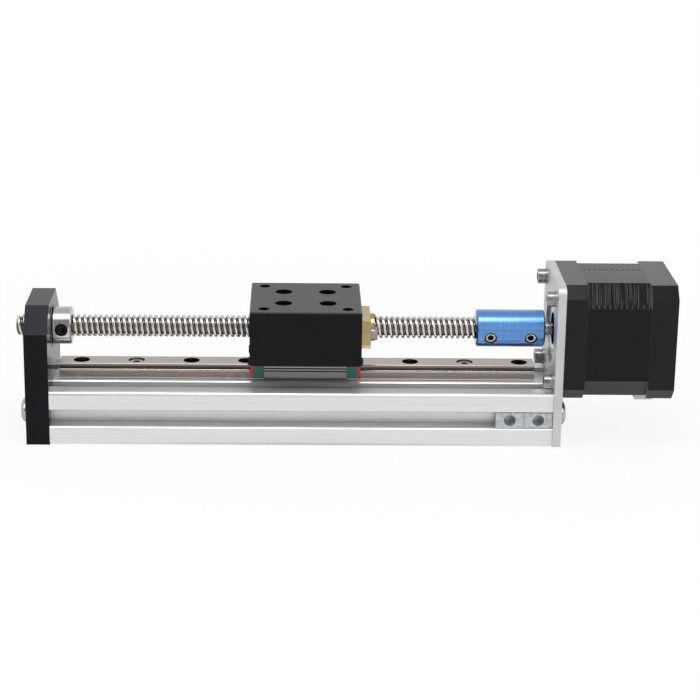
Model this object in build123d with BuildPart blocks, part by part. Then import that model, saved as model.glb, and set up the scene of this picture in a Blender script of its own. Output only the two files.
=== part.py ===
from build123d import *
from math import cos, radians, sin, sqrt
import os

os.makedirs("parts", exist_ok=True)

# A motor-driven lead screw stage, in millimetres.
# The origin is the middle of the base's underside.
# +X runs along the screw to the motor, +Y to the back and +Z up.

# Clearances
screw_fit = 0.05            # screw shank to its hole, on the radius
running_fit = 0.05          # turning shaft to its bore, on the radius
seat_fit = 0.01             # pressed or clamped piece to its seat, on the radius
slide_gap = 0.2             # sliding nut to its slot
collar_gap = 0.1            # collar to the end plate's face

# Base, an aluminium profile lying flat
base_length = 181.0
base_width = 40.0
base_height = 20.0
base_corner = 1.5
slot_opening = 6.2
slot_edge = 0.3             # chamfer of the slots' lips
slot_lip = 1.8
slot_cavity = 11.4
slot_shoulder = 1.5
slot_floor = 5.8
slot_depth = 6.1
core_bore = 4.2
hollow_width = 12.0
hollow_waist = 8.4
hollow_height = 8.4
hollow_side = 4.0

# Large button screws that hold both end plates on the base
plate_thread = 5.0
plate_screw_length = 20.0
plate_head = 9.5
plate_head_height = 2.6
plate_key = 3.0
plate_screw_bite_gap = 1.0  # tapped depth beyond the screw's tip
head_crown = 0.22           # radius of the flat crown, as a share of the head's diameter
head_rim = 0.15             # upright rim, as a share of the head's height
key_depth = 0.6             # depth of a key socket, as a share of the head's height

# Left end plate with the screw's bearing
end_plate_thickness = 8.4
end_plate_rise = 10.7       # over the screw axis
end_plate_corner = 8.6
end_plate_hole = 11.0

# Lead screw
nut_height = 9.0            # screw axis over the carriage block's underside
screw_diameter = 8.0
screw_stub = 4.5            # length outside the end plate
screw_end_chamfer = 1.0

# Bearing of the lead screw
screw_bearing_outer = 16.0
screw_bearing_rim = 10.4
screw_bearing_width = 5.0
shield_gap = 0.25

# Lock collar on the screw
collar_diameter = 13.6
collar_width = 7.0
collar_chamfer = 0.5
grub_thread = 4.0
grub_inset = 0.5
grub_key = 2.0

# Guide rail and its screws
rail_left_gap = 2.3         # rail to the end plate
rail_right_gap = 5.5        # rail to the motor plate
rail_width = 9.0
rail_height = 5.9
rail_hole_pitch = 20.0
rail_first_hole = 7.8       # from the rail's left end
rail_last_hole = 4.0        # least distance from a hole to the rail's right end
rail_counterbore = 6.0
rail_counterbore_depth = 3.5
rail_hole = 3.5
rail_foot_chamfer = 0.3
rail_top_chamfer = 0.15
rail_screw_count = 3
rail_screw_length = 7.0

# Small cap screws
small_thread = 3.0
small_head = 5.5
small_head_height = 3.0
small_key = 2.5
small_clearance_hole = 3.4

# Guide block that runs on the rail
ball_diameter = 1.588
ball_height = 4.2           # over the rail's foot
ball_play = 0.026
ball_count = 2              # of each row, the ones near its ends
ball_spacing = 18.0
guide_width = 20.0
guide_end_inset = 0.05      # end seals inside the carriage block's ends
guide_height = 10.0         # top of the block over the rail's foot
guide_lift = 2.0            # bottom of the block over the rail's foot
guide_side_gap = 0.4
guide_top_gap = 0.6
guide_bolt_x = 16.0
guide_bolt_y = 15.0
guide_bolt_depth = 3.2
guide_edge = 0.5
cap_length = 3.8
cap_inset = 0.2
cap_screw_thread = 1.6
cap_screw_head = 3.0
cap_screw_head_height = 0.9
cap_screw_length = 8.0
cap_screw_key = 0.9
cap_screw_y = 7.4
cap_screw_height = 8.0      # over the rail's foot
return_y = 8.0              # return bore of the balls
seal_thickness = 1.2
seal_gap = 0.12

# Carriage block on the guide block
carriage_x = 1.2
block_length = 40.0
block_width = 40.0
block_height = 20.0
block_counterbore = 6.2
block_counterbore_depth = 4.5
block_corner_spacing = 30.0
block_corner_hole = 3.3
block_corner_depth = 12.0
block_bore = 9.0
block_chamfer = 0.4

# Brass nut on the screw
nut_barrel = 10.2
nut_barrel_length = 10.0
nut_flange = 22.0
nut_flange_height = 10.4
nut_flange_thickness = 3.5
nut_stub = 1.5
nut_bolt_circle = 16.0
nut_bore_gap = 0.1
nut_screw_length = 10.0
nut_screw_head = 4.8
nut_screw_head_height = 2.4

# Shaft coupling
coupling_diameter = 13.6
coupling_length = 25.0
coupling_to_plate = 2.3
coupling_chamfer = 0.6
coupling_screw_inset = 5.2
coupling_screw_angle = 19.0  # below the horizontal, at the front
shaft_end_gap = 0.4

# Motor plate
motor_plate_thickness = 3.0
motor_plate_inset = 0.15    # plate's sides and top inside the motor's
motor_plate_bottom = 0.5
motor_plate_corner = 4.0
motor_plate_hole = 25.0
motor_bolt_spacing = 31.0
washer_diameter = 6.0
washer_thickness = 0.5
motor_screw_length = 6.0

# Motor
motor_width = 42.3
motor_corner = 4.4
bell_front_length = 7.7
stator_length = 22.8
bell_rear_length = 9.5
stator_step = 0.15          # stator below the bells' faces
stator_screw_edge = 3.4     # from the long screws to the stator's cut corners, along a side
pilot_diameter = 22.0
pilot_height = 2.0
bell_cavity = 36.0
bell_wall = 3.0
bell_mouth = 12.0
boss_diameter = 21.0
boss_gap = 1.8              # between the bearing boss and the rotor
shaft_diameter = 5.0
motor_bearing_outer = 16.0
motor_bearing_rim = 8.4
motor_bearing_width = 5.0
wave_washer_thickness = 0.6
wave_washer_wall = 1.5
motor_screw_bite = 2.6      # long screws in the front bell
rear_head_recess = 0.4
pole_count = 8
pole_width = 5.0
pole_gap = 2.6              # between neighbouring pole shoes
pole_shoe = 1.3
pole_teeth = 5
stator_bore = 25.8
yoke_bore = 36.0
air_gap = 0.15
rotor_teeth = 50
tooth_depth = 0.7
tooth_share = 0.45          # of the tooth pitch
magnet_thickness = 2.5
magnet_inset = 1.2
rotor_end_inset = 0.5
coil_thickness = 1.7
coil_end = 2.2
coil_gap = 0.1

# Motor connector
connector_length = 6.6
connector_width = 16.0
connector_drop = 3.4
connector_wall = 0.8
connector_depth = 2.8
connector_seat = 1.6
connector_to_bell_end = 5.3
pin_count = 6
pin_pitch = 2.0
pin_size = 0.5
pin_length = 2.2
lug_gap = 0.6
lug_length = 2.6
lug_drop = 1.1

# Nuts in the front slot
slot_nut_length = 10.2
slot_nut_recess = 0.3
slot_nut_bore = 4.2
slot_nut_gap = 0.1

# Places worked out from the sizes above
base_left = -base_length / 2
base_right = base_length / 2
base_top = base_height
base_middle = base_height / 2
slot_y = base_width / 4
end_plate_left = base_left - end_plate_thickness
axis_height = base_top + guide_height + nut_height
end_plate_height = axis_height + end_plate_rise
motor_plate_width = motor_width - 2 * motor_plate_inset
motor_plate_top = axis_height + motor_width / 2 - motor_plate_inset
motor_face = base_right + motor_plate_thickness
stator_left = motor_face + bell_front_length
stator_right = stator_left + stator_length
stator_corner = motor_width - 2 * stator_step - motor_bolt_spacing - stator_screw_edge
motor_end = stator_right + bell_rear_length
collar_left = base_left + collar_gap
collar_right = collar_left + collar_width
coupling_right = base_right - coupling_to_plate
coupling_left = coupling_right - coupling_length
coupling_middle = (coupling_left + coupling_right) / 2
screw_left = end_plate_left - screw_stub
screw_right = coupling_middle - shaft_end_gap
shaft_left = coupling_middle + shaft_end_gap
rail_top = base_top + rail_height
rail_left = base_left + rail_left_gap
rail_length = base_length - rail_left_gap - rail_right_gap
rail_hole_count = 1 + int((rail_length - rail_first_hole - rail_last_hole) / rail_hole_pitch)
rail_holes = [rail_left + rail_first_hole + rail_hole_pitch * i for i in range(rail_hole_count)]
holes_per_screw = rail_hole_count / rail_screw_count
rail_screw_holes = [rail_holes[int(holes_per_screw * (i + 0.5))] for i in range(rail_screw_count)]
guide_bottom = base_top + guide_lift
guide_top = base_top + guide_height
ball_level = base_top + ball_height
ball_y = rail_width / 2 + guide_side_gap / 2
groove_radius = ball_diameter / 2 + ball_play
block_bottom = guide_top
block_top = block_bottom + block_height
block_right = carriage_x + block_length / 2
guide_body_length = block_length - 2 * (guide_end_inset + seal_thickness + cap_length)
guide_right = carriage_x + guide_body_length / 2
guide_left = carriage_x - guide_body_length / 2
plate_screw_places = [(-slot_y, base_middle), (slot_y, base_middle)]


def across(x):
    """Plane square to the screw axis at x, its origin on the axis, with +Y to its right."""
    return Plane(origin=(x, 0, axis_height), x_dir=(0, 1, 0), z_dir=(1, 0, 0))


def radial(x, distance, below):
    """Plane at a distance from the screw axis that faces the front, turned down by an angle."""
    out = Vector(0, -cos(radians(below)), -sin(radians(below)))
    origin = Vector(x, 0, axis_height) + out * distance
    return Plane(origin=origin, x_dir=(1, 0, 0), z_dir=out)


def cap_screw(thread, length, head, head_height, key):
    """Socket screw that points down -Z, with the underside of its head at the origin."""
    with BuildPart() as screw:
        with BuildSketch(Plane.XY):
            Circle(head / 2)
        extrude(amount=head_height)
        with BuildSketch(Plane.XY.offset(head_height)):
            RegularPolygon(key / 2, 6, major_radius=False)
        extrude(amount=-head_height * key_depth, mode=Mode.SUBTRACT)
        with BuildSketch(Plane.XY):
            Circle(thread / 2)
        extrude(amount=-length)
    return screw.part


def button_screw(thread, length, head, head_height, key):
    """Socket screw with a low sloping head that points down -Z, its head's underside at the origin."""
    with BuildPart() as screw:
        with BuildSketch(Plane.XZ):
            shank = [(0, -length), (thread / 2, -length), (thread / 2, 0)]
            button = [(head / 2, 0), (head / 2, head_height * head_rim), (head * head_crown, head_height)]
            Polygon(*shank, *button, (0, head_height), align=None)
        revolve(axis=Axis.Z)
        with BuildSketch(Plane.XY.offset(head_height)):
            RegularPolygon(key / 2, 6, major_radius=False)
        extrude(amount=-head_height * key_depth, mode=Mode.SUBTRACT)
    return screw.part


def grub_screw(thread, length, key):
    """Headless socket screw from the origin down -Z."""
    with BuildPart() as screw:
        with BuildSketch(Plane.XY):
            Circle(thread / 2)
        extrude(amount=-length)
        with BuildSketch(Plane.XY):
            RegularPolygon(key / 2, 6, major_radius=False)
        extrude(amount=-length * key_depth, mode=Mode.SUBTRACT)
    return screw.part


def mirrored(points):
    """Closed outline of points and their mirror images across the local y axis."""
    return points + [(-x, y) for x, y in points[::-1]]


# Base
slot_outline = mirrored([
    (slot_opening / 2 + slot_edge, 0),
    (slot_opening / 2, -slot_edge),
    (slot_opening / 2, -slot_lip),
    (slot_cavity / 2, -slot_lip),
    (slot_cavity / 2, -slot_lip - slot_shoulder),
    (slot_floor / 2, -slot_depth),
])
with BuildPart() as base_extrusion:
    with BuildSketch(Plane.YZ.offset(base_left)) as profile:
        with Locations((0, base_middle)):
            Rectangle(base_width, base_height)
        fillet(profile.vertices(), base_corner)
        slots = [
            Location((-slot_y, base_height)),
            Location((slot_y, base_height)),
            Location((-slot_y, 0), 180),
            Location((slot_y, 0), 180),
            Location((-base_width / 2, base_middle), 90),
            Location((base_width / 2, base_middle), -90),
        ]
        with Locations(*slots):
            Polygon(*slot_outline, align=None, mode=Mode.SUBTRACT)
        with Locations(*plate_screw_places):
            Circle(core_bore / 2, mode=Mode.SUBTRACT)
        hollow = [
            (hollow_waist / 2, hollow_height / 2),
            (hollow_width / 2, hollow_side / 2),
            (hollow_width / 2, -hollow_side / 2),
            (hollow_waist / 2, -hollow_height / 2),
        ]
        with Locations((0, base_middle)):
            Polygon(*mirrored(hollow), align=None, mode=Mode.SUBTRACT)
    extrude(amount=base_length)
    left_bite = plate_screw_length - end_plate_thickness + plate_screw_bite_gap
    right_bite = plate_screw_length - motor_plate_thickness + plate_screw_bite_gap
    with BuildSketch(Plane.YZ.offset(base_left)):
        with Locations(*plate_screw_places):
            Circle(plate_thread / 2 + screw_fit)
    extrude(amount=left_bite, mode=Mode.SUBTRACT)
    with BuildSketch(Plane.YZ.offset(base_right)):
        with Locations(*plate_screw_places):
            Circle(plate_thread / 2 + screw_fit)
    extrude(amount=-right_bite, mode=Mode.SUBTRACT)
    with BuildSketch(Plane.XY.offset(base_top)):
        with Locations(*[(x, 0) for x in rail_screw_holes]):
            Circle(small_thread / 2 + screw_fit)
    rail_screw_depth = rail_screw_length - (rail_height - rail_counterbore_depth)
    extrude(amount=-rail_screw_depth - 2 * screw_fit, mode=Mode.SUBTRACT)
base_extrusion.part.label = "base_extrusion"
export_step(base_extrusion.part, "parts/base_extrusion.step")

# Left end plate
with BuildPart() as end_plate:
    with BuildSketch(Plane.YZ.offset(end_plate_left)) as plate_outline:
        with Locations((0, end_plate_height / 2)):
            Rectangle(base_width, end_plate_height)
        chamfer(plate_outline.vertices().group_by(Axis.Y)[-1], end_plate_corner)
        with Locations(*plate_screw_places):
            Circle(plate_thread / 2 + screw_fit, mode=Mode.SUBTRACT)
    extrude(amount=end_plate_thickness)
    with BuildSketch(across(end_plate_left)):
        Circle(end_plate_hole / 2)
    extrude(amount=end_plate_thickness, mode=Mode.SUBTRACT)
    with BuildSketch(across(base_left)):
        Circle(screw_bearing_outer / 2 + screw_fit)
    extrude(amount=-screw_bearing_width, mode=Mode.SUBTRACT)
end_plate.part.label = "end_plate"
export_step(end_plate.part, "parts/end_plate.step")

# Button screws of both end plates
plate_screw = button_screw(plate_thread, plate_screw_length, plate_head, plate_head_height, plate_key)
with BuildPart() as end_plate_screws:
    with Locations(*[Location((end_plate_left, y, z), (0, -90, 0)) for y, z in plate_screw_places]):
        add(plate_screw)
end_plate_screws.part.label = "end_plate_screws"
export_step(end_plate_screws.part, "parts/end_plate_screws.step")

with BuildPart() as motor_plate_screws:
    with Locations(*[Location((motor_face, y, z), (0, 90, 0)) for y, z in plate_screw_places]):
        add(plate_screw)
motor_plate_screws.part.label = "motor_plate_screws"
export_step(motor_plate_screws.part, "parts/motor_plate_screws.step")

# Guide rail: ball grooves, chamfered edges and a row of counterbored holes
with BuildPart() as guide_rail:
    with BuildSketch(Plane.YZ.offset(rail_left)) as rail_profile:
        half = rail_width / 2
        side = [
            (half - rail_foot_chamfer, base_top),
            (half, base_top + rail_foot_chamfer),
            (half, rail_top - rail_top_chamfer),
            (half - rail_top_chamfer, rail_top),
        ]
        Polygon(*mirrored(side), align=None)
        with Locations((ball_y, ball_level), (-ball_y, ball_level)):
            Circle(groove_radius, mode=Mode.SUBTRACT)
    extrude(amount=rail_length)
    with Locations(*[(x, 0, rail_top) for x in rail_holes]):
        CounterBoreHole(rail_hole / 2, rail_counterbore / 2, rail_counterbore_depth, depth=rail_height)
guide_rail.part.label = "guide_rail"
export_step(guide_rail.part, "parts/guide_rail.step")

rail_screw = cap_screw(small_thread, rail_screw_length, small_head, small_head_height, small_key)
with BuildPart() as rail_screws:
    with Locations(*[(x, 0, rail_top - rail_counterbore_depth) for x in rail_screw_holes]):
        add(rail_screw)
rail_screws.part.label = "rail_screws"
export_step(rail_screws.part, "parts/rail_screws.step")

# Motor plate
bolt_half = motor_bolt_spacing / 2
motor_bolts = [(y, z) for y in (-bolt_half, bolt_half) for z in (-bolt_half, bolt_half)]
with BuildPart() as motor_plate:
    with BuildSketch(Plane.YZ.offset(base_right)) as motor_plate_outline:
        plate_height = motor_plate_top - motor_plate_bottom
        with Locations((0, motor_plate_bottom + plate_height / 2)):
            Rectangle(motor_plate_width, plate_height)
        fillet(motor_plate_outline.vertices().group_by(Axis.Y)[-1], motor_plate_corner)
        with Locations(*plate_screw_places):
            Circle(plate_thread / 2 + screw_fit, mode=Mode.SUBTRACT)
    extrude(amount=motor_plate_thickness)
    with BuildSketch(across(base_right)):
        Circle(motor_plate_hole / 2)
        with Locations(*motor_bolts):
            Circle(small_clearance_hole / 2)
    extrude(amount=motor_plate_thickness, mode=Mode.SUBTRACT)
motor_plate.part.label = "motor_plate"
export_step(motor_plate.part, "parts/motor_plate.step")

motor_screw = cap_screw(small_thread, motor_screw_length, small_head, small_head_height, small_key)
motor_screw_seat = base_right - washer_thickness
motor_bolt_places = [(y, axis_height + z) for y, z in motor_bolts]
with BuildPart() as motor_mount_screws:
    with Locations(*[Location((motor_screw_seat, y, z), (0, -90, 0)) for y, z in motor_bolt_places]):
        add(motor_screw)
motor_mount_screws.part.label = "motor_mount_screws"
export_step(motor_mount_screws.part, "parts/motor_mount_screws.step")

with BuildPart() as motor_mount_washers:
    with BuildSketch(across(motor_screw_seat)):
        with Locations(*motor_bolts):
            Circle(washer_diameter / 2)
            Circle(small_thread / 2 + screw_fit, mode=Mode.SUBTRACT)
    extrude(amount=washer_thickness)
motor_mount_washers.part.label = "motor_mount_washers"
export_step(motor_mount_washers.part, "parts/motor_mount_washers.step")

# Motor: front bell with its pilot and bearing boss
rotor_left = stator_left + rotor_end_inset
rotor_right = stator_right - rotor_end_inset
front_boss_end = rotor_left - boss_gap
rear_boss_end = rotor_right + boss_gap
with BuildPart() as motor_front_bell:
    with BuildSketch(across(motor_face)) as bell_outline:
        Rectangle(motor_width, motor_width)
        chamfer(bell_outline.vertices(), motor_corner)
    extrude(amount=bell_front_length)
    with BuildSketch(across(motor_face)):
        Circle(pilot_diameter / 2)
    extrude(amount=-pilot_height)
    with BuildSketch(across(stator_left)):
        Circle(bell_cavity / 2)
        Circle(boss_diameter / 2, mode=Mode.SUBTRACT)
    extrude(amount=bell_wall - bell_front_length, mode=Mode.SUBTRACT)
    with BuildSketch(across(stator_left)):
        Circle(boss_diameter / 2)
    extrude(amount=front_boss_end - stator_left, mode=Mode.SUBTRACT)
    with BuildSketch(across(front_boss_end)):
        Circle(motor_bearing_outer / 2 + seat_fit)
    extrude(amount=-motor_bearing_width, mode=Mode.SUBTRACT)
    with BuildSketch(across(motor_face - pilot_height)):
        Circle(bell_mouth / 2)
    extrude(amount=pilot_height + bell_front_length, mode=Mode.SUBTRACT)
    with BuildSketch(across(motor_face)):
        with Locations(*motor_bolts):
            Circle(small_thread / 2 + screw_fit)
    extrude(amount=bell_front_length, mode=Mode.SUBTRACT)
motor_front_bell.part.label = "motor_front_bell"
export_step(motor_front_bell.part, "parts/motor_front_bell.step")

# Motor: stator stack with toothed poles
tooth_pitch = 360 / rotor_teeth
tooth_width = radians(tooth_pitch) * stator_bore / 2 * tooth_share
tooth_ring = stator_bore / 2 + tooth_depth
shoe_reach = tooth_ring + pole_shoe
tooth_places = [
    360 / pole_count * pole + tooth_pitch * (tooth - (pole_teeth - 1) / 2)
    for pole in range(pole_count)
    for tooth in range(pole_teeth)
]
tooth_middle = stator_bore / 2 + (tooth_depth + pole_shoe / 2) / 2
with BuildPart() as motor_stator:
    with BuildSketch(across(stator_left)) as stack:
        Rectangle(motor_width - 2 * stator_step, motor_width - 2 * stator_step)
        chamfer(stack.vertices(), stator_corner)
        Circle(yoke_bore / 2, mode=Mode.SUBTRACT)
        with Locations(*motor_bolts):
            Circle(small_clearance_hole / 2, mode=Mode.SUBTRACT)
        with PolarLocations((shoe_reach + yoke_bore / 2) / 2, pole_count):
            Rectangle(yoke_bore / 2 - shoe_reach + 2 * pole_shoe, pole_width)
        with BuildSketch(mode=Mode.PRIVATE) as shoe_ring:
            Circle(shoe_reach)
            Circle(tooth_ring, mode=Mode.SUBTRACT)
            with PolarLocations(tooth_ring, pole_count, start_angle=180 / pole_count):
                Rectangle(4 * pole_shoe, pole_gap, mode=Mode.SUBTRACT)
        add(shoe_ring.sketch)
        for angle in tooth_places:
            with PolarLocations(tooth_middle, 1, start_angle=angle):
                Rectangle(tooth_depth + pole_shoe / 2, tooth_width)
    extrude(amount=stator_length)
motor_stator.part.label = "motor_stator"
export_step(motor_stator.part, "parts/motor_stator.step")

# Motor: one coil round each pole
coil_half = pole_width / 2 + coil_gap + coil_thickness
coil_inner = shoe_reach + coil_gap
coil_outer = sqrt((yoke_bore / 2 - coil_gap) ** 2 - coil_half ** 2)
coil_middle = (coil_inner + coil_outer) / 2
with BuildPart() as motor_coils:
    with BuildSketch(across(stator_left - coil_end)):
        with PolarLocations(coil_middle, pole_count):
            Rectangle(coil_outer - coil_inner, 2 * coil_half)
    extrude(amount=stator_length + 2 * coil_end)
    with BuildSketch(across(stator_left - coil_gap)):
        with PolarLocations(coil_middle, pole_count):
            Rectangle(coil_outer - coil_inner + 2 * coil_gap, pole_width + 2 * coil_gap)
    extrude(amount=stator_length + 2 * coil_gap, mode=Mode.SUBTRACT)
motor_coils.part.label = "motor_coils"
export_step(motor_coils.part, "parts/motor_coils.step")

# Motor: rear bell with its bearing boss, screw recesses and the pocket for the connector
motor_bottom = axis_height - motor_width / 2
connector_right = motor_end - connector_to_bell_end
connector_left = connector_right - connector_length
rear_seat_depth = motor_bearing_width + wave_washer_thickness
with BuildPart() as motor_rear_bell:
    with BuildSketch(across(stator_right)) as rear_outline:
        Rectangle(motor_width, motor_width)
        chamfer(rear_outline.vertices(), motor_corner)
    extrude(amount=bell_rear_length)
    with BuildSketch(across(stator_right)):
        Circle(bell_cavity / 2)
        Circle(boss_diameter / 2, mode=Mode.SUBTRACT)
    extrude(amount=bell_rear_length - bell_wall, mode=Mode.SUBTRACT)
    with BuildSketch(across(stator_right)):
        Circle(boss_diameter / 2)
    extrude(amount=rear_boss_end - stator_right, mode=Mode.SUBTRACT)
    with BuildSketch(across(rear_boss_end)):
        Circle(motor_bearing_outer / 2 + seat_fit)
    extrude(amount=rear_seat_depth, mode=Mode.SUBTRACT)
    with BuildSketch(across(stator_right)):
        with Locations(*motor_bolts):
            Circle(small_clearance_hole / 2)
    extrude(amount=bell_rear_length, mode=Mode.SUBTRACT)
    with BuildSketch(across(motor_end)):
        with Locations(*motor_bolts):
            Circle(small_head / 2 + screw_fit)
    extrude(amount=-small_head_height - rear_head_recess, mode=Mode.SUBTRACT)
    with BuildSketch(Plane.XY.offset(motor_bottom)):
        with Locations(((stator_right + connector_right + seat_fit) / 2, 0)):
            Rectangle(connector_right + seat_fit - stator_right, connector_width + 2 * seat_fit)
    extrude(amount=connector_seat + seat_fit, mode=Mode.SUBTRACT)
    with BuildSketch(Plane.XY.offset(motor_bottom)):
        with Locations((connector_right + lug_gap + lug_length / 2, 0)):
            Rectangle(lug_length, connector_width)
    extrude(amount=-lug_drop)
motor_rear_bell.part.label = "motor_rear_bell"
export_step(motor_rear_bell.part, "parts/motor_rear_bell.step")

rear_screw_seat = motor_end - small_head_height - rear_head_recess
long_screw_length = rear_screw_seat - stator_left + motor_screw_bite
long_screw = cap_screw(small_thread, long_screw_length, small_head, small_head_height, small_key)
with BuildPart() as motor_body_screws:
    with Locations(*[Location((rear_screw_seat, y, z), (0, 90, 0)) for y, z in motor_bolt_places]):
        add(long_screw)
motor_body_screws.part.label = "motor_body_screws"
export_step(motor_body_screws.part, "parts/motor_body_screws.step")

rear_bearing_right = rear_boss_end + motor_bearing_width
with BuildPart() as motor_wave_washer:
    with BuildSketch(across(rear_bearing_right)):
        Circle(motor_bearing_outer / 2)
        Circle(motor_bearing_outer / 2 - wave_washer_wall, mode=Mode.SUBTRACT)
    extrude(amount=wave_washer_thickness)
motor_wave_washer.part.label = "motor_wave_washer"
export_step(motor_wave_washer.part, "parts/motor_wave_washer.step")

# Motor connector, open downwards, and its pins
connector_floor = motor_bottom - connector_drop + connector_depth
with BuildPart() as motor_connector:
    with BuildSketch(Plane.XY.offset(motor_bottom)):
        with Locations(((connector_left + connector_right) / 2, 0)):
            Rectangle(connector_length, connector_width)
    extrude(amount=-connector_drop)
    with BuildSketch(Plane.XY.offset(motor_bottom)):
        with Locations(((stator_right + seat_fit + connector_right) / 2, 0)):
            Rectangle(connector_right - stator_right - seat_fit, connector_width)
    extrude(amount=connector_seat)
    with BuildSketch(Plane.XY.offset(motor_bottom - connector_drop)):
        with Locations(((connector_left + connector_right) / 2, 0)):
            Rectangle(connector_length - 2 * connector_wall, connector_width - 2 * connector_wall)
    extrude(amount=connector_depth, mode=Mode.SUBTRACT)
motor_connector.part.label = "motor_connector"
export_step(motor_connector.part, "parts/motor_connector.step")

with BuildPart() as connector_pins:
    with BuildSketch(Plane.XY.offset(connector_floor)):
        with Locations(((connector_left + connector_right) / 2, 0)):
            with GridLocations(pin_pitch, pin_pitch, 1, pin_count):
                Rectangle(pin_size, pin_size)
    extrude(amount=-pin_length)
connector_pins.part.label = "connector_pins"
export_step(connector_pins.part, "parts/connector_pins.step")

# Shielded ball bearings: name, left face, outer diameter, rim of the inner ring, bore and width.
# The outer ring and its shields are one piece that almost reaches the inner ring.
bearings = [
    ("end_bearing", collar_left - screw_bearing_width, screw_bearing_outer, screw_bearing_rim,
     screw_diameter, screw_bearing_width),
    ("motor_front_bearing", front_boss_end - motor_bearing_width, motor_bearing_outer, motor_bearing_rim,
     shaft_diameter, motor_bearing_width),
    ("motor_rear_bearing", rear_boss_end, motor_bearing_outer, motor_bearing_rim,
     shaft_diameter, motor_bearing_width),
]
for name, left, outer, rim, bore, width in bearings:
    with BuildPart() as outer_ring:
        with BuildSketch(across(left)):
            Circle(outer / 2)
            Circle(rim / 2 + shield_gap, mode=Mode.SUBTRACT)
        extrude(amount=width)
    outer_ring.part.label = name + "_outer"
    export_step(outer_ring.part, f"parts/{name}_outer.step")

    with BuildPart() as inner_ring:
        with BuildSketch(across(left)):
            Circle(rim / 2)
            Circle(bore / 2 + seat_fit, mode=Mode.SUBTRACT)
        extrude(amount=width)
    inner_ring.part.label = name + "_inner"
    export_step(inner_ring.part, f"parts/{name}_inner.step")

# Lead screw
with BuildPart() as lead_screw:
    with BuildSketch(across(screw_left)):
        Circle(screw_diameter / 2)
    extrude(amount=screw_right - screw_left)
    chamfer(lead_screw.edges().group_by(Axis.X)[0], screw_end_chamfer)
lead_screw.part.label = "lead_screw"
export_step(lead_screw.part, "parts/lead_screw.step")

# Lock collar with its grub screw towards the front
collar_middle = (collar_left + collar_right) / 2
grub_face = collar_diameter / 2 - grub_inset
with BuildPart() as lock_collar:
    with BuildSketch(across(collar_left)):
        Circle(collar_diameter / 2)
    extrude(amount=collar_width)
    chamfer(lock_collar.edges().filter_by(GeomType.CIRCLE), collar_chamfer)
    with BuildSketch(across(collar_left)):
        Circle(screw_diameter / 2 + seat_fit)
    extrude(amount=collar_width, mode=Mode.SUBTRACT)
    with BuildSketch(radial(collar_middle, 0, 0)):
        Circle(grub_thread / 2 + screw_fit)
    extrude(amount=collar_diameter, mode=Mode.SUBTRACT)
lock_collar.part.label = "lock_collar"
export_step(lock_collar.part, "parts/lock_collar.step")

collar_grub = grub_screw(grub_thread, grub_face - screw_diameter / 2 - seat_fit, grub_key)
with BuildPart() as collar_set_screw:
    with Locations(radial(collar_middle, grub_face, 0)):
        add(collar_grub)
collar_set_screw.part.label = "collar_set_screw"
export_step(collar_set_screw.part, "parts/collar_set_screw.step")


# Shaft coupling with two grub screws on each shaft
grub_angles = [coupling_screw_angle, coupling_screw_angle + 90]
screw_grub_x = coupling_left + coupling_screw_inset
shaft_grub_x = coupling_right - coupling_screw_inset
coupling_grub_face = coupling_diameter / 2 - grub_inset
with BuildPart() as shaft_coupling:
    with BuildSketch(across(coupling_left)):
        Circle(coupling_diameter / 2)
    extrude(amount=coupling_length)
    chamfer(shaft_coupling.edges().filter_by(GeomType.CIRCLE), coupling_chamfer)
    with BuildSketch(across(coupling_left)):
        Circle(screw_diameter / 2 + seat_fit)
    extrude(amount=coupling_length / 2, mode=Mode.SUBTRACT)
    with BuildSketch(across(coupling_right)):
        Circle(shaft_diameter / 2 + seat_fit)
    extrude(amount=-coupling_length / 2, mode=Mode.SUBTRACT)
    with BuildSketch(*[radial(x, 0, a) for x in (screw_grub_x, shaft_grub_x) for a in grub_angles]):
        Circle(grub_thread / 2 + screw_fit)
    extrude(amount=coupling_diameter, mode=Mode.SUBTRACT)
shaft_coupling.part.label = "shaft_coupling"
export_step(shaft_coupling.part, "parts/shaft_coupling.step")

screw_side_grub = grub_screw(grub_thread, coupling_grub_face - screw_diameter / 2 - seat_fit, grub_key)
shaft_side_grub = grub_screw(grub_thread, coupling_grub_face - shaft_diameter / 2 - seat_fit, grub_key)
with BuildPart() as coupling_set_screws:
    with Locations(*[radial(screw_grub_x, coupling_grub_face, a) for a in grub_angles]):
        add(screw_side_grub)
    with Locations(*[radial(shaft_grub_x, coupling_grub_face, a) for a in grub_angles]):
        add(shaft_side_grub)
coupling_set_screws.part.label = "coupling_set_screws"
export_step(coupling_set_screws.part, "parts/coupling_set_screws.step")

# Motor shaft
with BuildPart() as motor_shaft:
    with BuildSketch(across(shaft_left)):
        Circle(shaft_diameter / 2)
    extrude(amount=rear_bearing_right - shaft_left)
motor_shaft.part.label = "motor_shaft"
export_step(motor_shaft.part, "parts/motor_shaft.step")

# Rotor: two toothed cups, half a tooth apart, with the magnet between them
rotor_middle = (rotor_left + rotor_right) / 2
cup_length = (rotor_right - rotor_left - magnet_thickness) / 2
rotor_radius = stator_bore / 2 - air_gap
rotor_root = rotor_radius - tooth_depth
cups = [
    ("rotor_front_cup", rotor_left, 0),
    ("rotor_rear_cup", rotor_right - cup_length, tooth_pitch / 2),
]
for name, left, turn in cups:
    with BuildPart() as cup:
        with BuildSketch(across(left)):
            Circle(rotor_root)
            with PolarLocations(rotor_root, rotor_teeth, start_angle=turn):
                Rectangle(2 * tooth_depth, tooth_width)
            Circle(shaft_diameter / 2 + seat_fit, mode=Mode.SUBTRACT)
        extrude(amount=cup_length)
    cup.part.label = name
    export_step(cup.part, f"parts/{name}.step")

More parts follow.
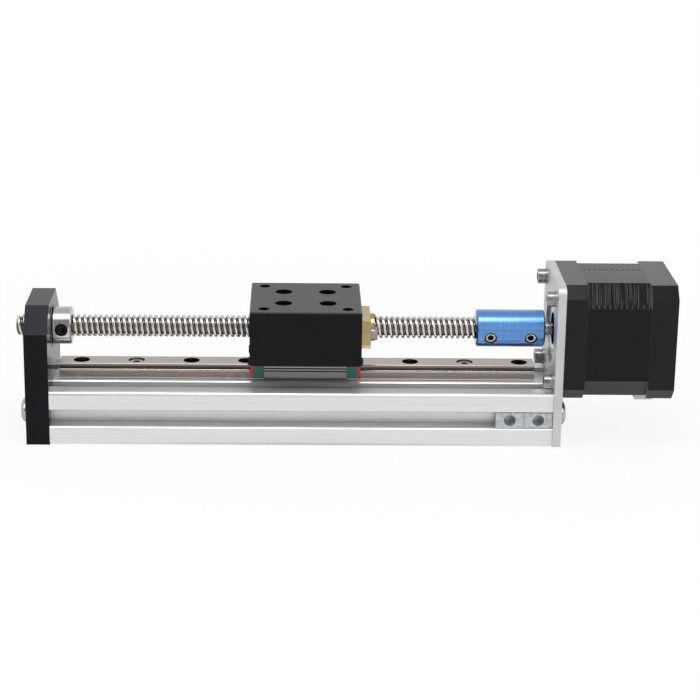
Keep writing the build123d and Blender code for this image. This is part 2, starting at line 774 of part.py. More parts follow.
with BuildPart() as rotor_magnet:
    with BuildSketch(across(rotor_middle - magnet_thickness / 2)):
        Circle(rotor_root - magnet_inset)
        Circle(shaft_diameter / 2 + seat_fit, mode=Mode.SUBTRACT)
    extrude(amount=magnet_thickness)
rotor_magnet.part.label = "rotor_magnet"
export_step(rotor_magnet.part, "parts/rotor_magnet.step")

# Guide block: a steel saddle with ball grooves, return bores and tapped holes
guide_bolt_rows = (-guide_bolt_x / 2, guide_bolt_x / 2)
guide_bolt_sides = (-guide_bolt_y / 2, guide_bolt_y / 2)
guide_bolts = [(carriage_x + x, y) for x in guide_bolt_rows for y in guide_bolt_sides]
channel_half = rail_width / 2 + guide_side_gap
channel_top = rail_top + guide_top_gap
cap_screw_level = base_top + cap_screw_height
with BuildPart() as guide_block:
    with BuildSketch(Plane.YZ.offset(guide_left)) as saddle:
        with Locations((0, (guide_bottom + guide_top) / 2)):
            Rectangle(guide_width, guide_top - guide_bottom)
        chamfer(saddle.vertices(), guide_edge)
        with Locations((0, (guide_bottom + channel_top) / 2)):
            Rectangle(2 * channel_half, channel_top - guide_bottom, mode=Mode.SUBTRACT)
        with Locations((ball_y, ball_level), (-ball_y, ball_level)):
            Circle(groove_radius, mode=Mode.SUBTRACT)
        with Locations((return_y, ball_level), (-return_y, ball_level)):
            Circle(groove_radius, mode=Mode.SUBTRACT)
    extrude(amount=guide_body_length)
    with BuildSketch(Plane.XY.offset(guide_top)):
        with Locations(*guide_bolts):
            Circle(small_thread / 2 + screw_fit)
    extrude(amount=-guide_bolt_depth, mode=Mode.SUBTRACT)
    with BuildSketch(Plane.YZ.offset(guide_left)):
        with Locations((cap_screw_y, cap_screw_level), (-cap_screw_y, cap_screw_level)):
            Circle(cap_screw_thread / 2 + screw_fit)
    extrude(amount=guide_body_length, mode=Mode.SUBTRACT)
guide_block.part.label = "guide_block"
export_step(guide_block.part, "parts/guide_block.step")

# Balls of the loaded rows
with BuildPart() as guide_balls:
    with Locations((carriage_x, 0, ball_level)):
        with GridLocations(ball_spacing, 2 * ball_y, ball_count, 2):
            Sphere(ball_diameter / 2)
guide_balls.part.label = "guide_balls"
export_step(guide_balls.part, "parts/guide_balls.step")

# Green end caps and red end seals
seal_half = rail_width / 2 + seal_gap
seal_top = rail_top + seal_gap
end_pieces = [
    ("end_cap_left", guide_left - cap_length, cap_length, channel_half, channel_top),
    ("end_cap_right", guide_right, cap_length, channel_half, channel_top),
    ("end_seal_left", guide_left - cap_length - seal_thickness, seal_thickness, seal_half, seal_top),
    ("end_seal_right", guide_right + cap_length, seal_thickness, seal_half, seal_top),
]
for name, left, length, opening_half, opening_top in end_pieces:
    with BuildPart() as end_piece:
        with BuildSketch(Plane.YZ.offset(left)) as end_outline:
            with Locations((0, (guide_bottom + guide_top) / 2)):
                Rectangle(guide_width - 2 * cap_inset, guide_top - guide_bottom - 2 * cap_inset)
            chamfer(end_outline.vertices(), guide_edge)
            with Locations((0, (guide_bottom + opening_top) / 2)):
                Rectangle(2 * opening_half, opening_top - guide_bottom, mode=Mode.SUBTRACT)
            with Locations((cap_screw_y, cap_screw_level), (-cap_screw_y, cap_screw_level)):
                Circle(cap_screw_thread / 2 + screw_fit, mode=Mode.SUBTRACT)
        extrude(amount=length)
    end_piece.part.label = name
    export_step(end_piece.part, f"parts/{name}.step")

seal_screw = cap_screw(
    cap_screw_thread, cap_screw_length, cap_screw_head, cap_screw_head_height, cap_screw_key
)
seal_face_left = guide_left - cap_length - seal_thickness
seal_face_right = guide_right + cap_length + seal_thickness
with BuildPart() as end_cap_screws:
    for x, turn in [(seal_face_left, -90), (seal_face_right, 90)]:
        for y in (-cap_screw_y, cap_screw_y):
            with Locations(Location((x, y, cap_screw_level), (0, turn, 0))):
                add(seal_screw)
end_cap_screws.part.label = "end_cap_screws"
export_step(end_cap_screws.part, "parts/end_cap_screws.step")

# Carriage block with the nut's bore, the guide block's screws and the tapped corner holes
nut_screw_y = nut_bolt_circle / 2
with BuildPart() as carriage_block:
    with BuildSketch(Plane.XY.offset(block_bottom)):
        with Locations((carriage_x, 0)):
            Rectangle(block_length, block_width)
    extrude(amount=block_height)
    chamfer(carriage_block.edges(), block_chamfer)
    with BuildSketch(across(block_right)):
        Circle(block_bore / 2)
    extrude(amount=-block_length, mode=Mode.SUBTRACT)
    with BuildSketch(across(block_right)):
        Circle(nut_barrel / 2 + nut_bore_gap)
    extrude(amount=-nut_barrel_length - nut_bore_gap, mode=Mode.SUBTRACT)
    with BuildSketch(across(block_right)):
        with Locations((nut_screw_y, 0), (-nut_screw_y, 0)):
            Circle(small_thread / 2 + screw_fit)
    extrude(amount=nut_flange_thickness - nut_screw_length - screw_fit, mode=Mode.SUBTRACT)
    with Locations(*[(x, y, block_top) for x, y in guide_bolts]):
        CounterBoreHole(
            small_clearance_hole / 2, block_counterbore / 2, block_counterbore_depth, depth=block_height
        )
    with Locations((carriage_x, 0, block_top)):
        with GridLocations(block_corner_spacing, block_corner_spacing, 2, 2):
            Hole(block_corner_hole / 2, depth=block_corner_depth)
carriage_block.part.label = "carriage_block"
export_step(carriage_block.part, "parts/carriage_block.step")

block_screw_seat = block_top - block_counterbore_depth
block_screw_length = block_screw_seat - guide_top + guide_bolt_depth - 2 * screw_fit
block_screw = cap_screw(small_thread, block_screw_length, small_head, small_head_height, small_key)
with BuildPart() as block_screws:
    with Locations(*[(x, y, block_screw_seat) for x, y in guide_bolts]):
        add(block_screw)
block_screws.part.label = "block_screws"
export_step(block_screws.part, "parts/block_screws.step")

# Brass nut with a trimmed flange, and its screws
with BuildPart() as lead_nut:
    with BuildSketch(across(block_right)):
        Circle(nut_flange / 2)
        Rectangle(nut_flange, nut_flange_height, mode=Mode.INTERSECT)
    extrude(amount=nut_flange_thickness)
    with BuildSketch(across(block_right + nut_flange_thickness + nut_stub)):
        Circle(nut_barrel / 2)
    extrude(amount=-nut_barrel_length - nut_flange_thickness - nut_stub)
    with BuildSketch(across(block_right)):
        with Locations((nut_screw_y, 0), (-nut_screw_y, 0)):
            Circle(small_thread / 2 + screw_fit)
    extrude(amount=nut_flange_thickness, mode=Mode.SUBTRACT)
    with BuildSketch(across(block_right - nut_barrel_length)):
        Circle(screw_diameter / 2 + running_fit)
    extrude(amount=nut_barrel_length + nut_flange_thickness + nut_stub, mode=Mode.SUBTRACT)
lead_nut.part.label = "lead_nut"
export_step(lead_nut.part, "parts/lead_nut.step")

nut_screw = cap_screw(small_thread, nut_screw_length, nut_screw_head, nut_screw_head_height, small_key)
nut_screw_seat = block_right + nut_flange_thickness
with BuildPart() as nut_screws:
    with Locations(across(nut_screw_seat)):
        with Locations((nut_screw_y, 0), (-nut_screw_y, 0)):
            add(nut_screw)
nut_screws.part.label = "nut_screws"
export_step(nut_screws.part, "parts/nut_screws.step")

# Nuts in the front slot, beside each other at the motor's end
nut_shape = mirrored([
    (slot_opening / 2 - slide_gap, -slot_nut_recess),
    (slot_opening / 2 - slide_gap, -slot_lip - slide_gap),
    (slot_cavity / 2 - slide_gap, -slot_lip - slide_gap),
    (slot_cavity / 2 - slide_gap, -slot_lip - slot_shoulder),
    (slot_floor / 2 - slide_gap, -slot_depth + slide_gap),
])
right_nut_left = base_right - slot_nut_gap - slot_nut_length
slot_nuts = [
    ("t_nut_right", right_nut_left),
    ("t_nut_left", right_nut_left - slot_nut_gap - slot_nut_length),
]
for name, left in slot_nuts:
    with BuildPart() as slot_nut:
        with BuildSketch(Plane.YZ.offset(left)):
            with Locations(Location((-base_width / 2, base_middle), 90)):
                Polygon(*nut_shape, align=None)
        extrude(amount=slot_nut_length)
        with BuildSketch(Plane.XZ.offset(base_width / 2)):
            with Locations((left + slot_nut_length / 2, base_middle)):
                Circle(slot_nut_bore / 2)
        extrude(amount=-slot_depth, mode=Mode.SUBTRACT)
    slot_nut.part.label = name
    export_step(slot_nut.part, f"parts/{name}.step")
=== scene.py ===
"""Looks of a motor-driven lead screw stage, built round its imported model."""

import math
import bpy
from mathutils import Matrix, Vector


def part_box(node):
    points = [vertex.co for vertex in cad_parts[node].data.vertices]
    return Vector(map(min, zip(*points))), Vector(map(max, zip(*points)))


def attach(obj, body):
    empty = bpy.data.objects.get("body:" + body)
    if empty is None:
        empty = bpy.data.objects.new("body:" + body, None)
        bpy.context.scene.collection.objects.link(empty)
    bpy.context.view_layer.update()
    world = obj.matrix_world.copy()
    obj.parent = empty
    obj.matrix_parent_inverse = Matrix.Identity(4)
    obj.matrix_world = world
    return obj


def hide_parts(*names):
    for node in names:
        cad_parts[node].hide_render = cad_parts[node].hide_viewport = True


bl_info = {
    "name": "Lead Screw Stage Looks",
    "version": (1, 0, 0),
    "blender": (4, 5, 0),
    "location": "3D View > Sidebar > Stage",
    "description": "Dresses a motor-driven lead screw stage: thread, fasteners, finishes and studio",
    "category": "Object",
}

import bpy
import numpy as np
from bpy.props import FloatProperty, FloatVectorProperty, IntProperty, PointerProperty
from bpy.types import Operator, Panel, PropertyGroup
from mathutils import Matrix, Vector

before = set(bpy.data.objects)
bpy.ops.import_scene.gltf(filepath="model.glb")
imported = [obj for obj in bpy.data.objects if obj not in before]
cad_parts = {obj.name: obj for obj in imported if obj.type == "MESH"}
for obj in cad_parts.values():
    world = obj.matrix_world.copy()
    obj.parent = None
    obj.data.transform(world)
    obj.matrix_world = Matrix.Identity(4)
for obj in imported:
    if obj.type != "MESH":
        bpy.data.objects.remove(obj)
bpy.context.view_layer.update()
MM = 0.001
MICRON = 0.001 * MM
SCREW_BODY = "screw"
CARRIAGE_BODY = "carriage"
BASE_BODY = "base"
SCREW_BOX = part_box("lead_screw")
AXIS_HEIGHT = (SCREW_BOX[0].z + SCREW_BOX[1].z) / 2
SCREW_RADIUS = (SCREW_BOX[1].y - SCREW_BOX[0].y) / 2


# Meshes

def grid_quads(rows, columns):
    """Faces of a grid of points, row after row, closed round its columns.

    Point j of row i has the number i * columns + j, and each face joins it to its
    neighbours in this row and the next."""
    start = np.arange(rows - 1)[:, None] * columns
    here = np.arange(columns)[None, :]
    beside = (here + 1) % columns
    return np.stack(
        [start + here, start + beside, start + columns + beside, start + columns + here], axis=-1
    ).reshape(-1, 4)


def fan(pole, ring):
    """Triangles from one pole to each edge of a closed ring of point numbers."""
    return np.stack([np.full(len(ring), pole), np.roll(ring, -1), ring], axis=-1)


def closed_tube(rings):
    """Points and faces of a tube of rings, shape (rings, columns, 3), closed by a fan at each end.

    Each pole is the mean of its end ring."""
    rows, columns = rings.shape[:2]
    points = np.concatenate([rings.reshape(-1, 3), rings[0].mean(0)[None], rings[-1].mean(0)[None]])
    first = np.arange(columns)
    last = first + (rows - 1) * columns
    bottom, top = rows * columns, rows * columns + 1
    return points, [grid_quads(rows, columns), fan(bottom, first), fan(top, last[::-1])]


def gathered(parts):
    """Several (points, faces) parts as one, their point numbers moved on."""
    points, faces, start = [], [], 0
    for part_points, part_faces in parts:
        points.append(part_points)
        faces += [f + start for f in part_faces]
        start += len(part_points)
    return np.concatenate(points), faces


def made_object(name, points, faces, smooth_angle):
    """Object at the origin with its place in its mesh, shaded smooth below an edge angle in degrees."""
    mesh = bpy.data.meshes.new(name)
    mesh.from_pydata(points.tolist(), [], [f for group in faces for f in group.tolist()])
    mesh.validate()
    mesh.shade_smooth()
    mesh.set_sharp_from_angle(angle=math.radians(smooth_angle))
    made = bpy.data.objects.new(name, mesh)
    bpy.context.scene.collection.objects.link(made)
    return made


def placed(points, origin, axis):
    """Points made round +Z at the origin, turned so that +Z is the axis and moved to the origin given."""
    turn = Vector(axis).to_track_quat("Z", "Y").to_matrix()
    return points @ np.array(turn).T + np.array(origin)


def finish_piece(piece, body, nodes, material):
    """Puts a new piece on its body, in place of the nodes that it stands for."""
    piece.data.materials.append(material)
    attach(piece, body)
    if nodes:
        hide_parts(*nodes)
    return piece


# Materials

NOISE_BAND = (0.3, 0.7)          # most values of a noise texture lie in here
# painted shade inside the screws' sockets, as a share of the metal's colour
SOCKET_PAINTED_SHADE = 0.04
# painted shade that stands for the countersunk rims round the block's corner holes
RIM_PAINTED_SHADE = (0.0008, 0.0008, 0.0008)
RIM_REACH = (0.1 * MM, 0.05 * MM)    # below the block's top: gone under the first, full over the second
CRISP = 0.05 * MM                # half the width of a crisp line's edge


def times(colour, factor):
    """A colour times a number, with no channel over 1."""
    return [min(c * factor, 1) for c in colour]


class Recipe:
    """A node material built step by step round one Principled shader."""

    def __init__(self, name, colour, metallic, roughness):
        self.material = bpy.data.materials.new(name)
        self.material.use_nodes = True
        self.tree = self.material.node_tree
        self.shader = self.tree.nodes["Principled BSDF"]
        self.colour = tuple(colour)[:3]
        self.roughness = roughness
        self.shader.inputs["Base Color"].default_value = (*self.colour, 1)
        self.shader.inputs["Metallic"].default_value = metallic
        self.shader.inputs["Roughness"].default_value = roughness

    @classmethod
    def of(cls, material):
        """The recipe of a material that another recipe has made, to add to it."""
        made = cls.__new__(cls)
        made.material = material
        made.tree = material.node_tree
        made.shader = made.tree.nodes["Principled BSDF"]
        made.colour = tuple(made.shader.inputs["Base Color"].default_value)[:3]
        return made

    def node(self, kind, **settings):
        made = self.tree.nodes.new(kind)
        for key, value in settings.items():
            setattr(made, key, value)
        return made

    def link(self, source, target):
        self.tree.links.new(source, target)

    def into(self, source, name):
        """Feeds one of the shader's own inputs."""
        self.link(source, self.shader.inputs[name])

    def source(self, name):
        """What feeds one of the shader's own inputs."""
        return self.shader.inputs[name].links[0].from_socket

    def point(self, scale=(1, 1, 1), place=(0, 0, 0)):
        """Object coordinates, moved and scaled along each axis."""
        coordinate = self.node("ShaderNodeTexCoord")
        mapping = self.node("ShaderNodeMapping")
        mapping.inputs["Location"].default_value = place
        mapping.inputs["Scale"].default_value = scale
        self.link(coordinate.outputs["Object"], mapping.inputs["Vector"])
        return mapping.outputs["Vector"]

    def axis(self, vector, name):
        """One of X, Y or Z of a vector."""
        split = self.node("ShaderNodeSeparateXYZ")
        self.link(vector, split.inputs["Vector"])
        return split.outputs[name]

    def noise(self, vector, scale, detail=2.0):
        made = self.node("ShaderNodeTexNoise")
        made.inputs["Scale"].default_value = scale
        made.inputs["Detail"].default_value = detail
        self.link(vector, made.inputs["Vector"])
        return made.outputs["Fac"]

    def attribute(self, name):
        """One of the piece's own attributes."""
        return self.node("ShaderNodeAttribute", attribute_name=name).outputs["Fac"]

    def sums(self, operation, first, second=0):
        """Math node; each side is a socket or a number."""
        made = self.node("ShaderNodeMath", operation=operation)
        for place, side in enumerate((first, second)):
            if isinstance(side, (int, float)):
                made.inputs[place].default_value = side
            else:
                self.link(side, made.inputs[place])
        return made.outputs["Value"]

    def vectors(self, operation, first, second, result):
        """Vector Math node; first is a socket, and second a socket, a plain vector or None."""
        made = self.node("ShaderNodeVectorMath", operation=operation)
        self.link(first, made.inputs[0])
        if isinstance(second, bpy.types.NodeSocket):
            self.link(second, made.inputs[1])
        elif second is not None:
            made.inputs[1].default_value = second
        return made.outputs[result]

    def remap(self, value, source, target):
        """Map Range from one (low, high) to another, clamped."""
        made = self.node("ShaderNodeMapRange", clamp=True)
        made.inputs["From Min"].default_value, made.inputs["From Max"].default_value = source
        made.inputs["To Min"].default_value, made.inputs["To Max"].default_value = target
        self.link(value, made.inputs["Value"])
        return made.outputs["Result"]

    def within(self, value, low, high, soft):
        """1 between two places and 0 outside them, with edges that are soft by a distance each way."""
        away = self.sums("ABSOLUTE", self.sums("SUBTRACT", value, (low + high) / 2))
        reach = (high - low) / 2
        return self.remap(away, (reach - soft, reach + soft), (1, 0))

    def facing(self, name, span):
        """0 to 1 as the part of a face's own normal along an axis goes through a span."""
        geometry = self.node("ShaderNodeNewGeometry")
        return self.remap(self.axis(geometry.outputs["True Normal"], name), span, (0, 1))

    def edge_highlight(self, normal, rounded, span):
        """Painted edge highlight: 0 to 1 as the cosine between a normal and the rounded one goes through a
        span.
        """
        geometry = self.node("ShaderNodeNewGeometry")
        cosine = self.vectors("DOT_PRODUCT", geometry.outputs[normal], rounded, "Value")
        return self.remap(cosine, span, (0, 1))

    def blend(self, factor, first, second):
        """Colour from first to second; each is a socket or a colour."""
        made = self.node("ShaderNodeMix", data_type="RGBA")
        self.link(factor, made.inputs["Factor"])
        for name, side in (("A", first), ("B", second)):
            socket = next(s for s in made.inputs if s.name == name and s.type == "RGBA")
            if isinstance(side, bpy.types.NodeSocket):
                self.link(side, socket)
            else:
                socket.default_value = (*tuple(side)[:3], 1)
        return next(s for s in made.outputs if s.type == "RGBA")

    def shade(self, factor, dark, light):
        """The material's colour times a number from dark to light."""
        return self.blend(factor, [c * dark for c in self.colour], times(self.colour, light))

    def clouded(self, noise, dark, light):
        """The material's colour, dark to light with a noise."""
        return self.shade(self.remap(noise, NOISE_BAND, (0, 1)), dark, light)

    def rounded(self, radius):
        """Normal that rounds sharp edges by a radius."""
        made = self.node("ShaderNodeBevel", samples=4)
        made.inputs["Radius"].default_value = radius
        return made.outputs["Normal"]

    def bump(self, height, depth, normal=None):
        made = self.node("ShaderNodeBump")
        made.inputs["Strength"].default_value = 1
        made.inputs["Distance"].default_value = depth
        self.link(height, made.inputs["Height"])
        if normal is not None:
            self.link(normal, made.inputs["Normal"])
        return made.outputs["Normal"]

    def finished(self, tint, grain, below, above, relief):
        """The material with a tint and a relief, and its roughness changed by a grain.

        below and above are how far the grain takes the roughness each way."""
        self.into(tint, "Base Color")
        span = (self.roughness - below, self.roughness + above)
        self.into(self.remap(grain, NOISE_BAND, span), "Roughness")
        self.into(relief, "Normal")
        return self.material


def drawn_metal(name, colour, roughness, along, depth, edge, metallic=1, socket=False, streak=0.16):
    """Metal with fine lines.

    along is the pattern's scale on each axis: a small one draws lines that way. With socket, painted shade
    darkens the inside of each screw's socket and the grooves of its knurl, by the socket attribute. streak
    is how much the lines change the roughness."""
    made = Recipe(name, colour, metallic, roughness)
    lines = made.noise(made.point(along), 1, 3)
    cloud = made.noise(made.point(), 60)
    tint = made.clouded(lines, 0.92, 1.04)
    if socket:
        # painted shade inside each socket and in the grooves of each knurl
        tint = made.blend(made.attribute("socket"), tint, times(made.colour, SOCKET_PAINTED_SHADE))
    made.into(tint, "Base Color")
    spread = made.sums("MULTIPLY_ADD", lines, streak)
    spread.node.inputs[2].default_value = roughness - streak / 2
    made.into(made.sums("ADD", spread, made.remap(cloud, (0.35, 0.65), (-0.03, 0.03))), "Roughness")
    made.into(made.bump(lines, depth, made.rounded(edge)), "Normal")
    return made.material


def bead_blasted(name, colour, roughness, depth, edge):
    """Metal with an even, fine grain."""
    made = Recipe(name, colour, 1, roughness)
    grain = made.noise(made.point(), 2600)
    tint = made.clouded(made.noise(made.point(), 90, 3), 0.93, 1.03)
    return made.finished(tint, grain, 0.05, 0.07, made.bump(grain, depth, made.rounded(edge)))


def black_coat(name, colour, roughness, specular, grain_scale, depth, edge):
    """Thin black coat with a fine grain, its edges painted paler as a highlight."""
    made = Recipe(name, colour, 0, roughness)
    made.shader.inputs["Specular IOR Level"].default_value = specular
    made.shader.inputs["Specular Tint"].default_value = (0.93, 0.90, 1, 1)
    grain = made.noise(made.point(), grain_scale)
    normal = made.rounded(edge)
    body = made.clouded(made.noise(made.point(), 55, 3), 0.85, 1.2)
    # edges painted paler: a painted highlight
    tint = made.blend(made.edge_highlight("Normal", normal, (0.93, 0.80)), body, times(made.colour, 2.6))
    return made.finished(tint, grain, 0.04, 0.06, made.bump(grain, depth, normal))


def bell_coat(name, colour, bare, roughness, specular, edge):
    """Black paint on the motor's bells, its edges painted paler as a highlight, with bare machined faces
    towards -X.
    """
    made = Recipe(name, colour, 0, roughness)
    made.shader.inputs["Specular IOR Level"].default_value = specular
    grain = made.noise(made.point(), 1500)
    normal = made.rounded(edge)
    paint = made.clouded(made.noise(made.point(), 70, 3), 0.85, 1.2)
    # edges painted much paler: a painted highlight
    paint = made.blend(made.edge_highlight("True Normal", normal, (0.985, 0.93)), paint, times(colour, 10))
    metal = made.blend(made.noise(made.point((90, 1400, 1400)), 1), times(bare, 0.85), bare)
    inward = made.facing("X", (-0.9, -0.99))
    made.into(inward, "Metallic")
    tint = made.blend(inward, paint, metal)
    return made.finished(tint, grain, 0.04, 0.06, made.bump(grain, 4 * MICRON, normal))


def black_block(name, colour, roughness, specular, holes, rim):
    """Black coat with painted shade for four countersunk rims on the top face, as dark as the holes inside
    them.

    holes are the distances along X and Y from the block's middle to each corner hole."""
    material = black_coat(name, colour, roughness, specular, 2200, 3 * MICRON, 0.2 * MM)
    made = Recipe.of(material)
    low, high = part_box("carriage_block")
    place = made.point(place=(-(low.x + high.x) / 2, -(low.y + high.y) / 2, 0))
    squares = []
    for axis, hole in zip("XY", holes):
        side = made.sums("SUBTRACT", made.sums("ABSOLUTE", made.axis(place, axis)), hole)
        squares.append(made.sums("MULTIPLY", side, side))
    away = made.sums("SQRT", made.sums("ADD", *squares))
    outside = made.remap(away, (rim - CRISP, rim + CRISP), (0, 1))
    lower, upper = (high.z - reach for reach in RIM_REACH)
    below = made.remap(made.axis(place, "Z"), (lower, upper), (1, 0))
    shown = made.sums("MAXIMUM", outside, below)
    # the rims are painted shade: near black, and rough so that they show no reflection
    made.into(made.blend(shown, RIM_PAINTED_SHADE, made.source("Base Color")), "Base Color")
    rough = made.remap(shown, (0, 1), (0.9, 0))
    made.into(made.sums("MAXIMUM", made.source("Roughness"), rough), "Roughness")
    return material


def paint_light_bands(material, bands, soft, name="Z"):
    """Paints bands of light and shade across one axis of a part into its material.

    bands are (low, high, shade): between these places the colour is the material's own times shade: painted
    shade below 1, painted highlight above it."""
    made = Recipe.of(material)
    height = made.axis(made.point(), name)
    tint = made.source("Base Color")
    for low, high, shade in bands:
        tint = made.blend(made.within(height, low, high, soft), tint, times(made.colour, shade))
    made.into(tint, "Base Color")
    return material


def paint_shade_below(material, dark):
    """Paints shade on the faces that look down: they take a dark colour."""
    made = Recipe.of(material)
    down = made.facing("Z", (-0.8, -0.95))
    made.into(made.blend(down, made.source("Base Color"), dark), "Base Color")
    return material


def paint_hole_shade(material, axes, mouth, dark):
    """Paints shade into each drilled hole and a mouth round it.

    axes are (place, direction) of the holes, and mouth is the radius. The distance of a point from an axis
    is the length of the cross product of its direction with the point's place seen from the axis."""
    made = Recipe.of(material)
    tint = made.source("Base Color")
    for place, direction in axes:
        from_axis = made.point(place=[-c for c in place])
        cross = made.vectors("CROSS_PRODUCT", from_axis, direction, "Vector")
        side = made.vectors("DOT_PRODUCT", from_axis, direction, "Value")
        round_axis = made.within(made.vectors("LENGTH", cross, None, "Value"), 0, mouth, CRISP)
        shown = made.sums("MULTIPLY", round_axis, made.sums("GREATER_THAN", side))
        tint = made.blend(shown, tint, dark)
    made.into(tint, "Base Color")
    return material


def colour_anodised(name, colour, roughness, edge):
    """Dyed anodised aluminium, turned, with faint rings round the X axis."""
    made = Recipe(name, colour, 1, roughness)
    made.shader.inputs["Coat Weight"].default_value = 1
    made.shader.inputs["Coat Roughness"].default_value = 0.12
    made.shader.inputs["Coat IOR"].default_value = 1.8
    rings = made.noise(made.point((2600, 40, 40)), 1, 3)
    cloud = made.noise(made.point(), 120)
    relief = made.bump(rings, 4 * MICRON, made.rounded(edge))
    return made.finished(made.clouded(rings, 0.86, 1.08), cloud, 0.04, 0.05, relief)


def threaded_steel(name, colour, roughness):
    """Rolled thread with painted light: crests painted bright as a highlight, roots painted dark as shade.
    """
    made = Recipe(name, colour, 1, roughness)
    lines = made.noise(made.point((900, 900, 900)), 1, 3)
    tint = made.shade(made.remap(made.attribute("groove"), (0.1, 1.0), (1, 0)), 0.26, 1.14)
    return made.finished(tint, lines, 0.05, 0.09, made.bump(lines, 6 * MICRON))


def laminated(name, colour, roughness, specular):
    """Painted stack of steel sheets; the groove attribute paints shade into what is pressed in."""
    made = Recipe(name, colour, 0, roughness)
    made.shader.inputs["Specular IOR Level"].default_value = specular
    sheets = made.noise(made.point((2600, 30, 30)), 1)
    tint = made.shade(made.remap(made.attribute("groove"), (0.2, 1.0), (1, 0)), 0.35, 1.1)
    return made.finished(tint, sheets, 0.04, 0.06, made.bump(sheets, 3 * MICRON))


def moulded(name, colour, roughness, edge):
    """Injection-moulded plastic or rubber with a faint skin."""
    made = Recipe(name, colour, 0, roughness)
    skin = made.noise(made.point(), 1800)
    tint = made.clouded(made.noise(made.point(), 200), 0.88, 1.08)
    return made.finished(tint, skin, 0.05, 0.06, made.bump(skin, 8 * MICRON, made.rounded(edge)))


def zinc_plated(name, colour, roughness, edge):
    """Zinc with a spangle of soft patches and sawn lines."""
    made = Recipe(name, colour, 0.55, roughness)
    cells = made.node("ShaderNodeTexVoronoi", feature="F1")
    cells.inputs["Scale"].default_value = 900
    made.link(made.point(), cells.inputs["Vector"])
    lines = made.noise(made.point((60, 1500, 1800)), 1)
    tint = made.shade(made.remap(cells.outputs["Color"], (0.2, 0.8), (0, 1)), 0.80, 1.12)
    return made.finished(tint, lines, 0.06, 0.1, made.bump(lines, 10 * MICRON, made.rounded(edge)))


def wound_wire(name, colour, pitch):
    """Enamelled copper wire, wound side by side round each pole.

    The wave texture's bands are 0.314 of a unit apart."""
    made = Recipe(name, colour, 1, 0.25)
    wave = made.node("ShaderNodeTexWave", wave_type="BANDS", bands_direction="X")
    wave.inputs["Scale"].default_value = 1
    wave.inputs["Distortion"].default_value = 0.4
    made.link(made.point([0.314 / pitch] * 3), wave.inputs["Vector"])
    made.into(made.shade(wave.outputs["Fac"], 0.45, 1.1), "Base Color")
    made.into(made.bump(wave.outputs["Fac"], pitch / 3), "Normal")
    return made.material


def dress(nodes, material):
    """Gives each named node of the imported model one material."""
    for name in nodes:
        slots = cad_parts[name].data.materials
        slots.clear()
        slots.append(material)


# Settings

def length(text, value, help_text):
    return FloatProperty(name=text, description=help_text, default=value, unit="LENGTH", precision=5)


def colour(text, value, help_text):
    return FloatVectorProperty(
        name=text, description=help_text, default=value, subtype="COLOR", size=3, min=0, max=1
    )


class StageThreadSettings(PropertyGroup):
    """Sizes of the lead screw's thread."""

    pitch: length("Pitch", 2 * MM, "Distance between neighbouring crests")
    starts: IntProperty(name="Starts", description="Number of threads side by side", default=2, min=1)
    depth: length("Depth", 1.05 * MM, "From the crest to the root")
    crest: FloatProperty(name="Crest", description="Crest's share of the pitch", default=0.38)
    flank: FloatProperty(name="Flank", description="Each flank's share of the pitch", default=0.17)
    end_chamfer: length("End chamfer", 1 * MM, "Length of the cone at both ends")


class StageFastenerSettings(PropertyGroup):
    """Sizes shared by the screws."""

    thread: length("Small thread", 3 * MM, "Diameter of the small screws")
    head: length("Small head", 5.5 * MM, "Head diameter of the small screws")
    head_height: length("Small head height", 3 * MM, "Head height of the small screws")
    key: length("Small key", 2.5 * MM, "Across the flats of the small screws' sockets")
    plate_thread: length("Plate thread", 5 * MM, "Diameter of the end plates' screws")
    plate_head: length("Plate head", 9.5 * MM, "Head diameter of the end plates' screws")
    plate_head_height: length("Plate head height", 2.6 * MM, "Head height of the end plates' screws")
    plate_key: length("Plate key", 3 * MM, "Across the flats of the end plates' sockets")
    nut_head: length("Nut head", 4.8 * MM, "Head diameter of the nut's screws")
    nut_head_height: length("Nut head height", 2.4 * MM, "Head height of the nut's screws")
    grub: length("Grub thread", 4 * MM, "Diameter of the set screws")
    grub_key: length("Grub key", 2 * MM, "Across the flats of the set screws' sockets")
    grub_inset: length("Grub inset", 0.5 * MM, "Set screws below the round face")
    coupling_grub_inset: length("Coupling grub", 5.2 * MM, "Coupling's end to its set screw")
    coupling_grub_angle: FloatProperty(
        name="Coupling grub angle", description="Set screws below the front horizontal, in degrees",
        default=19,
    )


class StageBlockSettings(PropertyGroup):
    """Sizes of the painted shade and highlights on the carriage and the profile."""

    corner_spacing: length("Corner spacing", 30 * MM, "Between the tapped corner holes")
    rim: length("Hole rim", 4 * MM, "Diameter of the countersunk rims")
    line_depth: length("Line depth", 3.9 * MM, "Guide block's top to its upper side line")
    line_width: length("Line width", 0.5 * MM, "Width of each side line")
    line_spacing: length("Line spacing", 0.95 * MM, "Between the two side lines")
    slot_floor: length("Slot floor", 5.8 * MM, "Width of the floor of the profile's slots")


class StageMotorSettings(PropertyGroup):
    """Sizes of the stator's skin."""

    skin: length("Skin", 0.1 * MM, "Thickness of the painted skin over the stack")
    corner: length("Corner", 7.6 * MM, "Width of the stack's cut corners")
    sheet: length("Sheet", 0.5 * MM, "Thickness of one sheet")
    rib_pitch: length("Rib pitch", 1.5 * MM, "Mean distance of the streaks on the cut corners")
    rib_slant: length("Rib slant", -0.6 * MM, "How far a streak leans across a cut corner")
    dimple_pitch: length("Dimple pitch", 2 * MM, "Distance of the pressed dimples")
    dimple: length("Dimple", 0.8 * MM, "Diameter of a pressed dimple")
    dimple_row: length("Dimple row", 3 * MM, "From a side's middle to its row of dimples")
    dimple_edge: length("Edge row", 0.9 * MM, "From a cut corner's edge to its row of dimples")


